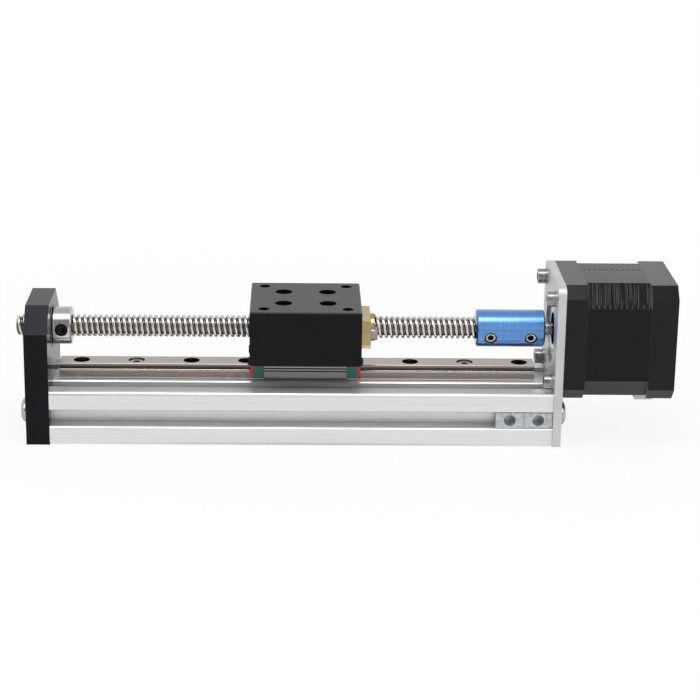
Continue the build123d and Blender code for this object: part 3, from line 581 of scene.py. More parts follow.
class StageFinishSettings(PropertyGroup):
    """Colours of the metals, coats and plastics."""

    profile: colour("Profile", (0.83, 0.83, 0.84), "Clear anodised aluminium")
    plate: colour("Motor plate", (0.69, 0.69, 0.68), "Blasted aluminium")
    black: colour("Black", (0.0056, 0.0053, 0.0068), "Black anodised aluminium")
    motor: colour("Motor", (0.0024, 0.0024, 0.0025), "Black paint on the motor")
    rail: colour("Rail", (0.43, 0.383, 0.348), "Ground bearing steel")
    guide: colour("Guide", (0.20, 0.197, 0.195), "Ground guide block")
    thread: colour("Thread", (0.66, 0.635, 0.60), "Rolled thread")
    steel: colour("Steel", (0.62, 0.60, 0.58), "Turned steel")
    bright: colour("Bright", (0.51, 0.50, 0.49), "Stainless screws")
    zinc: colour("Zinc", (0.54, 0.575, 0.59), "Zinc plating")
    brass: colour("Brass", (0.49, 0.385, 0.195), "Turned brass")
    blue: colour("Blue", (0.06, 0.28, 0.72), "Blue anodised aluminium")
    green: colour("Green", (0.004, 0.135, 0.095), "Green end caps")
    red: colour("Red", (0.51, 0.022, 0.028), "Red end seals")
    nylon: colour("Nylon", (0.74, 0.735, 0.68), "Pale connector")
    copper: colour("Copper", (0.55, 0.22, 0.09), "Enamelled wire")


class StageStudioSettings(PropertyGroup):
    """Camera, lamps and floor."""

    camera_place: FloatVectorProperty(
        name="Camera", description="Where the camera stands", subtype="TRANSLATION",
        default=(-0.002873, -0.735145, 0.259887),
    )
    camera_yaw: FloatProperty(name="Yaw", description="Turn towards +X, in degrees", default=1.589)
    camera_pitch: FloatProperty(name="Pitch", description="Tilt upwards, in degrees", default=-17.347)
    camera_roll: FloatProperty(name="Roll", description="Roll of the picture, in degrees", default=0.839)
    camera_lens: FloatProperty(name="Lens", description="Focal length for a 36 mm sensor", default=108.298)
    floor: colour("Floor", (0.93, 0.93, 0.93), "Plain pale floor")
    box_power: FloatProperty(name="Softbox", description="Power of the large softbox, in watts", default=3.0)
    fill_power: FloatProperty(name="Fill", description="Power of the side lamps, in watts", default=2.8)


# Lead screw

SAMPLES_PER_PITCH = 15
THREAD_COLUMNS = 48


def give_attribute(piece, name, values):
    """Stores one number per point as the piece's own attribute."""
    attribute = piece.data.attributes.new(name, "FLOAT", "POINT")
    attribute.data.foreach_set("value", np.ravel(values).astype(np.float32))


def thread_rings(settings, left, right):
    """Rings of a thread of several starts round the X axis, and how deep each point lies, from 0 to 1.

    At place x and turn t the phase is (x - lead t / 2 pi) / pitch. Its distance from the nearest crest's
    middle goes from 0 to 1/2, and the depth rises from 0 to 1 along a smooth step over the flank. The radius
    is the crest's less that depth, and no more than a cone at either end."""
    count = int((right - left) / settings.pitch * SAMPLES_PER_PITCH) + 1
    x = np.linspace(left, right, count)[:, None]
    turn = np.linspace(0, 2 * np.pi, THREAD_COLUMNS, endpoint=False)[None, :]
    lead = settings.pitch * settings.starts
    phase = (x - lead * turn / (2 * np.pi)) / settings.pitch
    away = np.abs(phase - np.round(phase))
    rise = np.clip((away - settings.crest / 2) / settings.flank, 0, 1)
    groove = rise * rise * (3 - 2 * rise)
    end = np.minimum(np.minimum(x - left, right - x), settings.end_chamfer)
    cone = SCREW_RADIUS - settings.end_chamfer + end
    radius = np.minimum(SCREW_RADIUS - groove * settings.depth, cone)
    along = np.broadcast_to(x, radius.shape)
    rings = np.stack([along, radius * np.cos(turn), AXIS_HEIGHT + radius * np.sin(turn)], axis=-1)
    return rings, groove


class STAGE_OT_lead_screw(Operator):
    """Lead screw with its real two-start thread"""

    bl_idname = "stage.lead_screw"
    bl_label = "Lead screw"

    def execute(self, context):
        settings = context.scene.stage_thread
        rings, groove = thread_rings(settings, SCREW_BOX[0].x, SCREW_BOX[1].x)
        points, faces = closed_tube(rings)
        piece = made_object("lead_screw_thread", points, faces, 60)
        # the groove attribute also sets the thread's painted highlight and painted shade
        give_attribute(piece, "groove", np.concatenate([groove.ravel(), [0, 0]]))
        steel = threaded_steel("rolled thread", context.scene.stage_finish.thread, 0.2)
        finish_piece(piece, SCREW_BODY, ["lead_screw"], steel)
        return {"FINISHED"}


# Fasteners

ROUND, HEXAGON, KNURL = 0, 1, 2
SCREW_SIDES = 48
SOCKET_ROWS = 4
KNURL_DEPTH = 0.05 * MM
# painted shade in a knurl's grooves, as a share of the socket's
KNURL_PAINTED_SHADE = 0.7
KEY_CORNER = 1.16                # a little over the distance of a hexagon's corner as a share of its flat's
CAP_SOCKET = 0.5                 # depths of the sockets as shares of the head or the set screw
BUTTON_SOCKET = 0.6
GRUB_SOCKET = 0.55
DOME_RIM = 0.16                  # share of a button head's height that is a straight rim
DOME_CROWN = 0.72                # radius of a button head's flat crown as a share of its key
DOME_STEPS = 9


def turned_screw(rows):
    """Points and faces of a screw round +Z from (radius, height, form) rows.

    A round row keeps its radius. On a hexagon row the radius is the distance to a flat, and a point at turn
    t is that over the cosine of its angle from the flat's middle. On a knurled row every second point is
    lower. The last rows are the inside of its socket. Also gives the painted shade of each point: 1 in the
    socket, some of that in the grooves of a knurl, and 0 elsewhere."""
    radius, height, form = (np.array(column, float)[:, None] for column in zip(*rows))
    turn = np.linspace(0, 2 * np.pi, SCREW_SIDES, endpoint=False)[None, :]
    flat = np.pi / 3
    hexagon = 1 / np.cos((turn + flat / 2) % flat - flat / 2)
    second = (np.arange(SCREW_SIDES) % 2)[None, :]
    knurl = np.where(form == KNURL, second, 0)
    reach = np.where(form == HEXAGON, radius * hexagon, radius - KNURL_DEPTH * knurl)
    along = np.broadcast_to(height, reach.shape)
    rings = np.stack([reach * np.cos(turn), reach * np.sin(turn), along], axis=-1)
    # painted shade: full in the socket, partial in the knurl's grooves
    dark = KNURL_PAINTED_SHADE * knurl
    dark[-SOCKET_ROWS:] = 1
    points, faces = closed_tube(rings)
    return points, faces, np.concatenate([dark.ravel(), [0, 1]])


def socket_rows(key, top, depth):
    """Rows of a hexagon socket from the top face down, with the drilled cone at its bottom."""
    flat = key / 2
    return [
        (flat * KEY_CORNER + 0.06 * MM, top, ROUND),
        (flat, top - 0.12 * MM, HEXAGON),
        (flat, top - depth, HEXAGON),
        (flat * 0.9, top - depth, ROUND),
        (0.05 * MM, top - depth - flat * 0.35, ROUND),
    ]


def shank_rows(thread, shank, tip):
    """Rows of a shank with a chamfered tip, up to the underside of the head."""
    return [
        (thread / 2 - tip, -shank, ROUND),
        (thread / 2, -shank + tip, ROUND),
        (thread / 2, 0, ROUND),
    ]


def cap_rows(thread, shank, head, head_height, key):
    """Rows of a socket cap screw: shank with a chamfered tip, knurled head with rounded rims, socket."""
    edge = 0.25 * MM
    reach = head / 2
    return [
        *shank_rows(thread, shank, edge),
        (reach - edge / 2, 0, ROUND),
        (reach, edge / 2, KNURL),
        (reach, head_height - edge, KNURL),
        (reach - edge * 0.35, head_height - edge * 0.35, ROUND),
        (reach - edge, head_height, ROUND),
        *socket_rows(key, head_height, head_height * CAP_SOCKET),
    ]


def button_rows(thread, shank, head, head_height, key):
    """Rows of a button screw: its dome follows a quarter of an ellipse from the rim to the flat crown."""
    reach = head / 2
    rim = head_height * DOME_RIM
    crown = key * DOME_CROWN
    rise = head_height - rim
    turns = np.linspace(0, np.pi / 2, DOME_STEPS)
    dome = [(crown + (reach - crown) * math.cos(t), rim + rise * math.sin(t), ROUND) for t in turns]
    return [
        *shank_rows(thread, shank, 0.3 * MM),
        (reach - 0.1 * MM, 0, ROUND),
        *dome,
        *socket_rows(key, head_height, head_height * BUTTON_SOCKET),
    ]


def grub_rows(thread, depth, key):
    """Rows of a set screw: cone point, thread body and socket."""
    edge = 0.3 * MM
    return [
        (thread / 2 - 2 * edge, -depth, ROUND),
        (thread / 2 - edge / 3, -depth + edge, ROUND),
        (thread / 2 - edge / 3, -edge, ROUND),
        (thread / 2 - edge, 0, ROUND),
        *socket_rows(key, 0, depth * GRUB_SOCKET),
    ]


def corners(node, head):
    """Middles of the heads at the four corners of a group's box, in the plane across X."""
    low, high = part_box(node)
    inset = head / 2
    return [(y, z) for y in (low.y + inset, high.y - inset) for z in (low.z + inset, high.z - inset)]


def pair(node, head):
    """Middles of two heads side by side along Y."""
    low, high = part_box(node)
    return [(y, (low.z + high.z) / 2) for y in (low.y + head / 2, high.y - head / 2)]


def seated(low, high, head_height, towards=1):
    """Where the underside of a head lies between a screw's two ends, and how long its shank is."""
    seat = high - head_height if towards > 0 else low + head_height
    return seat, high - low - head_height


def along_x(rows, places, seat, towards):
    """Copies of a screw with the underside of the head at x = seat and the head towards +X or -X."""
    points, faces, dark = turned_screw(rows)
    return [(placed(points, (seat, y, z), (towards, 0, 0)), faces, dark) for y, z in places]


def upright(rows, places, seat):
    """Copies of a screw with the underside of the head at z = seat and the head upwards."""
    points, faces, dark = turned_screw(rows)
    return [(placed(points, (x, y, seat), (0, 0, 1)), faces, dark) for x, y in places]


def front_radial(x, distance, below):
    """Point and outward direction at a distance from the screw's axis, turned down from the front."""
    out = Vector((0, -math.cos(math.radians(below)), -math.sin(math.radians(below))))
    return Vector((x, 0, AXIS_HEIGHT)) + out * distance, out


def coupling_turns(sizes):
    """Angles of the two set screws at each end of the coupling, a quarter turn apart."""
    return sizes.coupling_grub_angle, sizes.coupling_grub_angle + 90


def make_fasteners(name, body, node, parts, material):
    """One piece from copies of a screw, with the painted shade of each point as its socket attribute."""
    points, faces = gathered([part[:2] for part in parts])
    piece = made_object(name, points, faces, 35)
    give_attribute(piece, "socket", np.concatenate([part[2] for part in parts]))
    return finish_piece(piece, body, [node], material)


class STAGE_OT_plate_screws(Operator):
    """Domed screws outside both end plates"""

    bl_idname = "stage.plate_screws"
    bl_label = "End plate screws"

    def execute(self, context):
        sizes = context.scene.stage_fasteners
        colours = context.scene.stage_finish
        bright = drawn_metal(
            "stainless buttons", colours.bright, 0.22, (700, 700, 700), 3 * MICRON, 0.1 * MM, socket=True
        )
        head = (sizes.plate_head, sizes.plate_head_height, sizes.plate_key)
        for node, towards in (("end_plate_screws", -1), ("motor_plate_screws", 1)):
            low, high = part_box(node)
            seat, shank = seated(low.x, high.x, sizes.plate_head_height, towards)
            rows = button_rows(sizes.plate_thread, shank, *head)
            parts = along_x(rows, pair(node, sizes.plate_head), seat, towards)
            make_fasteners(node + "_domed", BASE_BODY, node, parts, bright)
        return {"FINISHED"}


class STAGE_OT_cap_screws(Operator):
    """Socket cap screws of the motor, the nut, the guide block and the rail"""

    bl_idname = "stage.cap_screws"
    bl_label = "Cap screws"

    def execute(self, context):
        sizes = context.scene.stage_fasteners
        colours = context.scene.stage_finish
        grain = (500, 500, 500)
        bright = drawn_metal(
            "stainless caps", colours.bright, 0.3, grain, 3 * MICRON, 0.08 * MM, socket=True
        )
        small = (sizes.head, sizes.head_height, sizes.key)
        for node, towards in (("motor_mount_screws", -1), ("motor_body_screws", 1)):
            low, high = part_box(node)
            seat, shank = seated(low.x, high.x, sizes.head_height, towards)
            parts = along_x(cap_rows(sizes.thread, shank, *small), corners(node, sizes.head), seat, towards)
            make_fasteners(node + "_knurled", BASE_BODY, node, parts, bright)

        low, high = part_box("nut_screws")
        seat, shank = seated(low.x, high.x, sizes.nut_head_height)
        rows = cap_rows(sizes.thread, shank, sizes.nut_head, sizes.nut_head_height, sizes.key)
        parts = along_x(rows, pair("nut_screws", sizes.nut_head), seat, 1)
        make_fasteners("nut_screws_knurled", CARRIAGE_BODY, "nut_screws", parts, bright)

        low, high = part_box("block_screws")
        inset = sizes.head / 2
        seat, shank = seated(low.z, high.z, sizes.head_height)
        sides = (low.y + inset, high.y - inset)
        places = [(x, y) for x in (low.x + inset, high.x - inset) for y in sides]
        parts = upright(cap_rows(sizes.thread, shank, *small), places, seat)
        black = black_coat("blackened caps", colours.black, 0.35, 0.3, 1500, 4 * MICRON, 0.08 * MM)
        make_fasteners("block_screws_knurled", CARRIAGE_BODY, "block_screws", parts, black)

        low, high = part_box("rail_screws")
        seat, shank = seated(low.z, high.z, sizes.head_height)
        places = [(x, 0) for x in (low.x + inset, (low.x + high.x) / 2, high.x - inset)]
        parts = upright(cap_rows(sizes.thread, shank, *small), places, seat)
        pale = drawn_metal("rail screw caps", colours.bright, 0.3, grain, 3 * MICRON, 0.08 * MM)
        make_fasteners("rail_screws_knurled", BASE_BODY, "rail_screws", parts, pale)
        return {"FINISHED"}


class STAGE_OT_set_screws(Operator):
    """Set screws of the lock collar and the coupling"""

    bl_idname = "stage.set_screws"
    bl_label = "Set screws"

    def execute(self, context):
        sizes = context.scene.stage_fasteners
        colours = context.scene.stage_finish
        low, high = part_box("lock_collar")
        face = (high.z - low.z) / 2 - sizes.grub_inset
        place, out = front_radial((low.x + high.x) / 2, face, 0)
        points, *rest = turned_screw(grub_rows(sizes.grub, face - SCREW_RADIUS, sizes.grub_key))
        black = black_coat("blackened grubs", colours.black, 0.3, 0.3, 1500, 4 * MICRON, 0.06 * MM)
        make_fasteners(
            "collar_set_screw_turned", SCREW_BODY, "collar_set_screw",
            [(placed(points, place, out), *rest)], black,
        )

        low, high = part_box("shaft_coupling")
        shaft_low, shaft_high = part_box("motor_shaft")
        shaft_radius = (shaft_high.z - shaft_low.z) / 2
        face = (high.z - low.z) / 2 - sizes.grub_inset
        parts = []
        for x, inner in (
            (low.x + sizes.coupling_grub_inset, SCREW_RADIUS),
            (high.x - sizes.coupling_grub_inset, shaft_radius),
        ):
            points, *rest = turned_screw(grub_rows(sizes.grub, face - inner, sizes.grub_key))
            for angle in coupling_turns(sizes):
                parts.append((placed(points, *front_radial(x, face, angle)), *rest))
        bright = drawn_metal(
            "bright grubs", colours.bright, 0.18, (800, 800, 800), 3 * MICRON, 0.06 * MM, socket=True
        )
        make_fasteners(
            "coupling_set_screws_turned", SCREW_BODY, "coupling_set_screws", parts, bright
        )
        return {"FINISHED"}


# Motor

STACK_INSET = 0.01 * MM          # the skin ends this far inside the stack's ends
SKIN_LIFT = 0.005 * MM           # the skin's inner wall lies this far above the stack
SKIN_RINGS = 221
SKIN_CUT = 0.85                  # share of the skin's thickness that the deepest groove takes
SHEET_CUT = 0.05                 # depth of the saw tooth of the sheets
DIMPLE_START = 0.7               # pitches from the stack's left end to the first dimple
DIMPLE_MARGIN = 0.5              # pitches at both ends without dimples
DIMPLE_REACH = 1.5               # radii from a dimple's middle to where it fades out
# The streaks' sine waves: height, how often they come, start, and lean across the cut corner
STREAK_WAVES = ((1, 1, 0, 0), (0.8, 1.93, 1.7, 0), (0.6, 2.7, 0, 4))
STREAK_SWELL = (0.4, 0.23, 0, 3)
STREAK_DRIFT = (0.8, 0.41, 0, 0)
STREAK_LEVEL = 0.6               # strength of the streaks that the swell is added to
STREAK_MEAN = 0.40
STREAK_SHARE = 0.19
STREAK_EDGE = (12, 1.5)          # how fast and how far from a corner's edge the streaks begin


def side_places(half, corner, rows):
    """Points of a square's outline with cut corners, with more of them near each row of dimples.

    The path runs along local x at y = half and then down the cut corner, and three quarter turns repeat it.
    Rows are places on that path, from the middle of the side. Also gives each point's place on the path and
    its share of the way across the cut corner, 0 on a side."""
    middle = half - corner
    slope = corner * math.sqrt(2)
    near = np.linspace(-0.5, 0.5, 7) * MM
    even = [np.linspace(-middle, middle, 9), np.linspace(middle, middle + slope, 12)]
    path = np.unique(np.round(np.concatenate(even + [row + near for row in rows]), 6))
    path = path[path < middle + slope - 0.01 * MM]
    across = np.clip((path - middle) / slope, 0, 1)
    x = np.minimum(path, middle) + corner * across
    y = half - corner * across
    turns = np.arange(4) * np.pi / 2
    cos, sin = np.cos(turns)[:, None], np.sin(turns)[:, None]
    outline_x = (x * cos + y * sin).ravel()
    outline_y = (-x * sin + y * cos).ravel()
    return outline_x, outline_y, np.tile(path, 4), np.tile(across, 4)


def wave(form, turn, across):
    """A sine wave of a given height, frequency, start and lean across the corner."""
    height, frequency, start, lean = form
    return height * np.sin(frequency * turn + start + lean * across)


def streaks(turn, across):
    """How deep the streaks of the cut corners are pressed, from 0 to 1.

    Three sine waves are added up, swell and fade with a slower one and drift with another. The mean plus a
    share of that is kept within 0 to 1. It sets in a little past the edge where the cut corner begins."""
    streak = sum(wave(form, turn, across) for form in STREAK_WAVES)
    streak = streak * (STREAK_LEVEL + wave(STREAK_SWELL, turn, across)) + wave(STREAK_DRIFT, turn, across)
    slope, start = STREAK_EDGE
    return np.clip(STREAK_MEAN + STREAK_SHARE * streak, 0, 1) * np.clip(across * slope - start, 0, 1)


def stator_groove(sizes, x, path, across, rows):
    """How deep each point of the stator's skin lies, from 0 to 1, at places x along the stack.

    It is the sum of a shallow saw tooth along X for the sheets, slanted streaks on the cut corners, and
    round pits. A pit is at its full depth up to half its radius, and fades out evenly at one and a half."""
    left, right = x[0], x[-1]
    sheets = SHEET_CUT * np.abs((x / sizes.sheet) % 1 - 0.5) * 2
    turn = (x + sizes.rib_slant * across) / sizes.rib_pitch * 2 * np.pi
    nearest = (x - left) / sizes.dimple_pitch - DIMPLE_START
    offset = (nearest - np.round(nearest)) * sizes.dimple_pitch
    margin = sizes.dimple_pitch * DIMPLE_MARGIN
    inside = (x > left + margin) & (x < right - margin)
    pit = np.zeros((len(x), path.shape[1]))
    for row in rows:
        away = np.sqrt(offset ** 2 + (path - row) ** 2)
        pit = np.maximum(pit, np.clip(DIMPLE_REACH - away / (sizes.dimple / 2), 0, 1) * inside)
    return np.clip(sheets + streaks(turn, across) + pit, 0, 1)


def walled_skin(x, outline_x, outline_y, height):
    """Points and faces of a skin round a stack along X: a tube with a wall.

    The outer grid lies above the stack's outline by a height, measured away from the screw's axis. The inner
    one, of the two ends alone, lies a small lift above it and is run backwards to close the tube."""
    reach = np.hypot(outline_x, outline_y)
    outer = 1 + height / reach[None, :]
    along = np.broadcast_to(x, outer.shape)
    outside = np.stack([along, outline_x * outer, AXIS_HEIGHT + outline_y * outer], axis=-1)
    lift = 1 + SKIN_LIFT / reach
    inside = [
        np.stack([np.full(len(reach), end), outline_x * lift, AXIS_HEIGHT + outline_y * lift], axis=-1)
        for end in (x[-1, 0], x[0, 0])
    ]
    rings = np.concatenate([outside, np.stack(inside)])
    rows, columns = rings.shape[:2]
    first = np.arange(columns)
    last = first + (rows - 1) * columns
    closing = np.stack([last, np.roll(last, -1), np.roll(first, -1), first], axis=-1)
    return rings.reshape(-1, 3), [grid_quads(rows, columns), closing]


class STAGE_OT_stator_skin(Operator):
    """Painted skin of the motor's sheet stack, with its streaks and pressed dimples"""

    bl_idname = "stage.stator_skin"
    bl_label = "Stator skin"

    def execute(self, context):
        """The dimples lie in rows, one on each side and one just below each cut corner's edge."""
        sizes = context.scene.stage_motor
        low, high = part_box("motor_stator")
        half = (high.y - low.y) / 2
        rows = (sizes.dimple_row, half - sizes.corner + sizes.dimple_edge)
        outline_x, outline_y, path, across = side_places(half, sizes.corner, rows)
        x = np.linspace(low.x + STACK_INSET, high.x - STACK_INSET, SKIN_RINGS)[:, None]
        groove = stator_groove(sizes, x, path[None, :], across[None, :], rows)
        points, faces = walled_skin(x, outline_x, outline_y, sizes.skin * (1 - SKIN_CUT * groove))
        piece = made_object("stator_skin", points, faces, 30)
        # the groove attribute also paints shade into the streaks and dimples
        give_attribute(piece, "groove", np.concatenate([groove, np.zeros((2, len(path)))]))
        paint = laminated("painted sheets", context.scene.stage_finish.motor, 0.19, 0.22)
        finish_piece(piece, BASE_BODY, [], paint)
        return {"FINISHED"}


class STAGE_OT_motor_finish(Operator):
    """Finish of the motor's bells, stack, rotor, coils, bearings and connector, with painted highlights on
    the bells' edges
    """

    bl_idname = "stage.motor_finish"
    bl_label = "Motor finish"

    def execute(self, context):
        colours = context.scene.stage_finish
        bells = bell_coat("bell paint", colours.motor, colours.plate, 0.17, 0.28, 0.25 * MM)
        dress(["motor_front_bell", "motor_rear_bell"], bells)
        sheets = laminated("bare sheets", times(colours.motor, 12), 0.45, 0.3)
        dress(["motor_stator"], sheets)
        grey = times(colours.steel, 0.6)
        steel = drawn_metal("rotor steel", grey, 0.35, (2400, 60, 60), 10 * MICRON, 0.1 * MM)
        dress(["rotor_front_cup", "rotor_rear_cup"], steel)
        dark = times(colours.steel, 0.35)
        dress(["rotor_magnet"], bead_blasted("sintered magnet", dark, 0.5, 20 * MICRON, 0.1 * MM))
        dress(["motor_coils"], wound_wire("copper windings", colours.copper, 0.25 * MM))
        shaft = drawn_metal("ground shaft", colours.steel, 0.18, (2600, 60, 60), 3 * MICRON, 0.1 * MM)
        dress(["motor_shaft"], shaft)
        rings = drawn_metal("bearing rings", colours.bright, 0.16, (1800, 90, 90), 3 * MICRON, 0.1 * MM)
        bearings = ["motor_front_bearing", "motor_rear_bearing"]
        dress([b + side for b in bearings for side in ("_outer", "_inner")], rings)
        # the end bearings' steel at 0.4 of its colour, and rougher
        dim_steel = times(colours.steel, 0.4)
        dimmed = drawn_metal("oiled rings", dim_steel, 0.42, (300, 900, 900), 3 * MICRON, 0.1 * MM)
        dress(["end_bearing_outer", "end_bearing_inner"], dimmed)
        washers = drawn_metal("washers", colours.bright, 0.22, (600, 600, 600), 4 * MICRON, 0.08 * MM)
        dress(["motor_wave_washer", "motor_mount_washers"], washers)
        dress(["motor_connector"], moulded("pale nylon", colours.nylon, 0.45, 0.2 * MM))
        pins = drawn_metal("tinned pins", colours.bright, 0.3, (900, 900, 90), 3 * MICRON, 0.05 * MM)
        dress(["connector_pins"], pins)
        return {"FINISHED"}


# Base, rail and carriage

BLACK_GLOSS = (0.19, 0.14)       # roughness and specular level of the black plates
GROUND_GRAIN = 4500
# width of the painted shade round a set screw's hole
MOUTH_SHADE_WIDTH = 0.35 * MM           # dark edge round a set screw's hole
# Painted light and shade across the rail's flanks in mm: (near, far, shade), down from its top and up from
# its foot; a shade under 1 is painted shade, over 1 a painted highlight
RAIL_PAINTED_FROM_TOP = ((0.03, 0.92, 0.62), (0.92, 1.70, 0.34), (1.70, 2.25, 0.08), (2.25, 2.80, 1.8))
RAIL_PAINTED_FROM_FOOT = ((0.7, 2.2, 1.25), (0.3, 0.7, 2.1))
# The painted shade line at the slots' corner, in mm below and above it, and its shade
SLOT_SHADE_LINE = (0.15, 0.30, 0.74)
# painted shade of the guide block's two side lines, and a painted highlight on the edge over each
SIDE_LINE_PAINTED_SHADE = 0.04              # of the guide block's side lines
SIDE_LINE_PAINTED_GLINT = 1.7                # of the bright edge over each of them


class STAGE_OT_base_finish(Operator):
    """Finish of the profile, both end plates, the rail and the slot nuts, with painted light and shade on
    the rail and along the profile's slots
    """

    bl_idname = "stage.base_finish"
    bl_label = "Base finish"

    def execute(self, context):
        colours = context.scene.stage_finish
        profile = drawn_metal(
            "drawn profile", colours.profile, 0.32, (0.8, 1800, 1800), 0.2 * MICRON, 0.1 * MM,
            metallic=0.67, streak=0.04,
        )
        under, over = (corner.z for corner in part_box("base_extrusion"))
        slot_corner = (under + over) / 2 - context.scene.stage_block.slot_floor / 2
        # painted shade: a dark line along each slot's corner
        below, above, shade = SLOT_SHADE_LINE
        line = (slot_corner - below * MM, slot_corner + above * MM, shade)
        dress(["base_extrusion"], paint_light_bands(profile, [line], 0.05 * MM))
        blasted = bead_blasted("blasted plate", colours.plate, 0.48, 12 * MICRON, 0.25 * MM)
        dress(["motor_plate"], blasted)
        black = black_coat("black end plate", colours.black, *BLACK_GLOSS, 2200, 2 * MICRON, 0.2 * MM)
        dress(["end_plate"], black)
        foot, top = (corner.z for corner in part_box("guide_rail"))
        # painted shade in the ball groove and painted highlights along the rail's flanks
        bands = [(top - far * MM, top - near * MM, shade) for near, far, shade in RAIL_PAINTED_FROM_TOP]
        bands += [(foot + near * MM, foot + far * MM, shade) for near, far, shade in RAIL_PAINTED_FROM_FOOT]
        rail = drawn_metal(
            "ground rail", colours.rail, 0.26, (1, GROUND_GRAIN, GROUND_GRAIN), 0.1 * MICRON, 0.02 * MM,
            streak=0.05,
        )
        dress(["guide_rail"], paint_light_bands(rail, bands, 0.04 * MM))
        dress(["t_nut_left", "t_nut_right"], zinc_plated("zinc slot nuts", colours.zinc, 0.34, 0.2 * MM))
        return {"FINISHED"}


class STAGE_OT_carriage_finish(Operator):
    """Finish of the block, nut, guide block, end caps and end seals, with painted shade on the block's rims,
    the guide block's side lines and underside, and painted glints
    """

    bl_idname = "stage.carriage_finish"
    bl_label = "Carriage finish"

    def execute(self, context):
        colours = context.scene.stage_finish
        block = context.scene.stage_block
        holes = (block.corner_spacing / 2, block.corner_spacing / 2)
        coat = black_block("black block", colours.black, *BLACK_GLOSS, holes, block.rim / 2)
        dress(["carriage_block"], coat)
        brass = drawn_metal("turned brass", colours.brass, 0.26, (2200, 70, 70), 4 * MICRON, 0.2 * MM)
        dress(["lead_nut"], brass)
        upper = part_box("guide_block")[1].z - block.line_depth
        half = block.line_width / 2
        # the guide block's sides get two painted shade lines, each with a painted glint over it
        heights = (upper, upper - block.line_spacing)
        lines = [(z - half, z + half, SIDE_LINE_PAINTED_SHADE) for z in heights]
        lines += [(z + half, z + 2 * half, SIDE_LINE_PAINTED_GLINT) for z in heights]
        guide = drawn_metal(
            "ground guide", colours.guide, 0.26, (3, GROUND_GRAIN, GROUND_GRAIN), 1 * MICRON, 0.15 * MM
        )
        # painted shade on the guide block's downward faces, over its painted side lines
        dress(["guide_block"], paint_shade_below(paint_light_bands(guide, lines, 0.06 * MM), times(colours.guide, 0.05)))
        balls = drawn_metal("polished balls", colours.bright, 0.08, (300, 300, 300), 1 * MICRON, 0.01 * MM)
        dress(["guide_balls"], balls)
        dress(["end_cap_left", "end_cap_right"], moulded("green caps", colours.green, 0.38, 0.3 * MM))
        dress(["end_seal_left", "end_seal_right"], moulded("red seals", colours.red, 0.5, 0.2 * MM))
        screws = black_coat("cap screws", colours.black, 0.35, 0.3, 1500, 3 * MICRON, 0.05 * MM)
        dress(["end_cap_screws"], screws)
        return {"FINISHED"}


class STAGE_OT_drive_finish(Operator):
    """Finish of the lock collar and the coupling, with painted shade at their ends and round their set screw
    holes
    """

    bl_idname = "stage.drive_finish"
    bl_label = "Drive finish"

    def execute(self, context):
        colours = context.scene.stage_finish
        sizes = context.scene.stage_fasteners
        mouth = sizes.grub / 2 + MOUTH_SHADE_WIDTH
        low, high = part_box("lock_collar")
        collar = drawn_metal("turned collar", colours.steel, 0.2, (2400, 70, 70), 4 * MICRON, 0.2 * MM)
        # painted shade: a dark line at the collar's left end, where its chamfer is
        collar = paint_light_bands(collar, [(low.x, low.x + 0.4 * MM, 0.1)], 0.06 * MM, "X")
        hole = [front_radial((low.x + high.x) / 2, 0, 0)]
        # painted shade in the collar's set screw hole and round its mouth
        dress(["lock_collar"], paint_hole_shade(collar, hole, mouth, times(colours.steel, 0.03)))
        low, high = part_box("shaft_coupling")
        axes = [
            front_radial(x, 0, angle)
            for x in (low.x + sizes.coupling_grub_inset, high.x - sizes.coupling_grub_inset)
            for angle in coupling_turns(sizes)
        ]
        blue = colour_anodised("blue coupling", colours.blue, 0.34, 0.2 * MM)
        # painted shade at both ends of the coupling: a painted dark reflection on their chamfers
        edges = [(low.x, low.x + 0.45 * MM, 0.35), (high.x - 0.6 * MM, high.x, 0.25)]
        blue = paint_light_bands(blue, edges, 0.1 * MM, "X")
        # painted shade in the coupling's set screw holes and round their mouths
        dress(["shaft_coupling"], paint_hole_shade(blue, axes, mouth, times(colours.blue, 0.1)))
        return {"FINISHED"}


# Studio

SENSOR_WIDTH = 36
FLOOR_REACH = 4.0
FLOOR_DROP = -0.2 * MM           # the floor lies a little below the object
LAMP_TARGET = (0, 0, 0.03)
SOFTBOX_PLACE = (-0.03, -0.34, 0.97)
SOFTBOX_SIZE = (0.46, 0.5)
FILL_PLACE = (1.1, -0.5, 0.7)    # of the right one; the left one is its mirror image
FILL_SIZE = (0.6, 0.8)
# Levels of the studio: the span of a direction's part along one axis, and the levels at its two ends
CEILING = ((0.36, 0.80), (1.14, 0.80))
FRONT = ((-0.40, -0.70), (0, 1))
SIDE = ((-0.12, 0.10), (0.20, 1.2))
HORIZON = ((0.03, 0.07), (0.35, 1))
# Floor: how X and Y count for the distance from the middle, its span, and the levels at its two ends
FLOOR_SEEN = ((0.75, 1, 0), (0.10, 0.34), (0.86, 1))
# the floor as metal sees it: a glow with a painted shadow close under the object
FLOOR_MIRRORED_SHADOW = ((0.2, 1, 0), (0.012, 0.027), (0.2, 0.86))


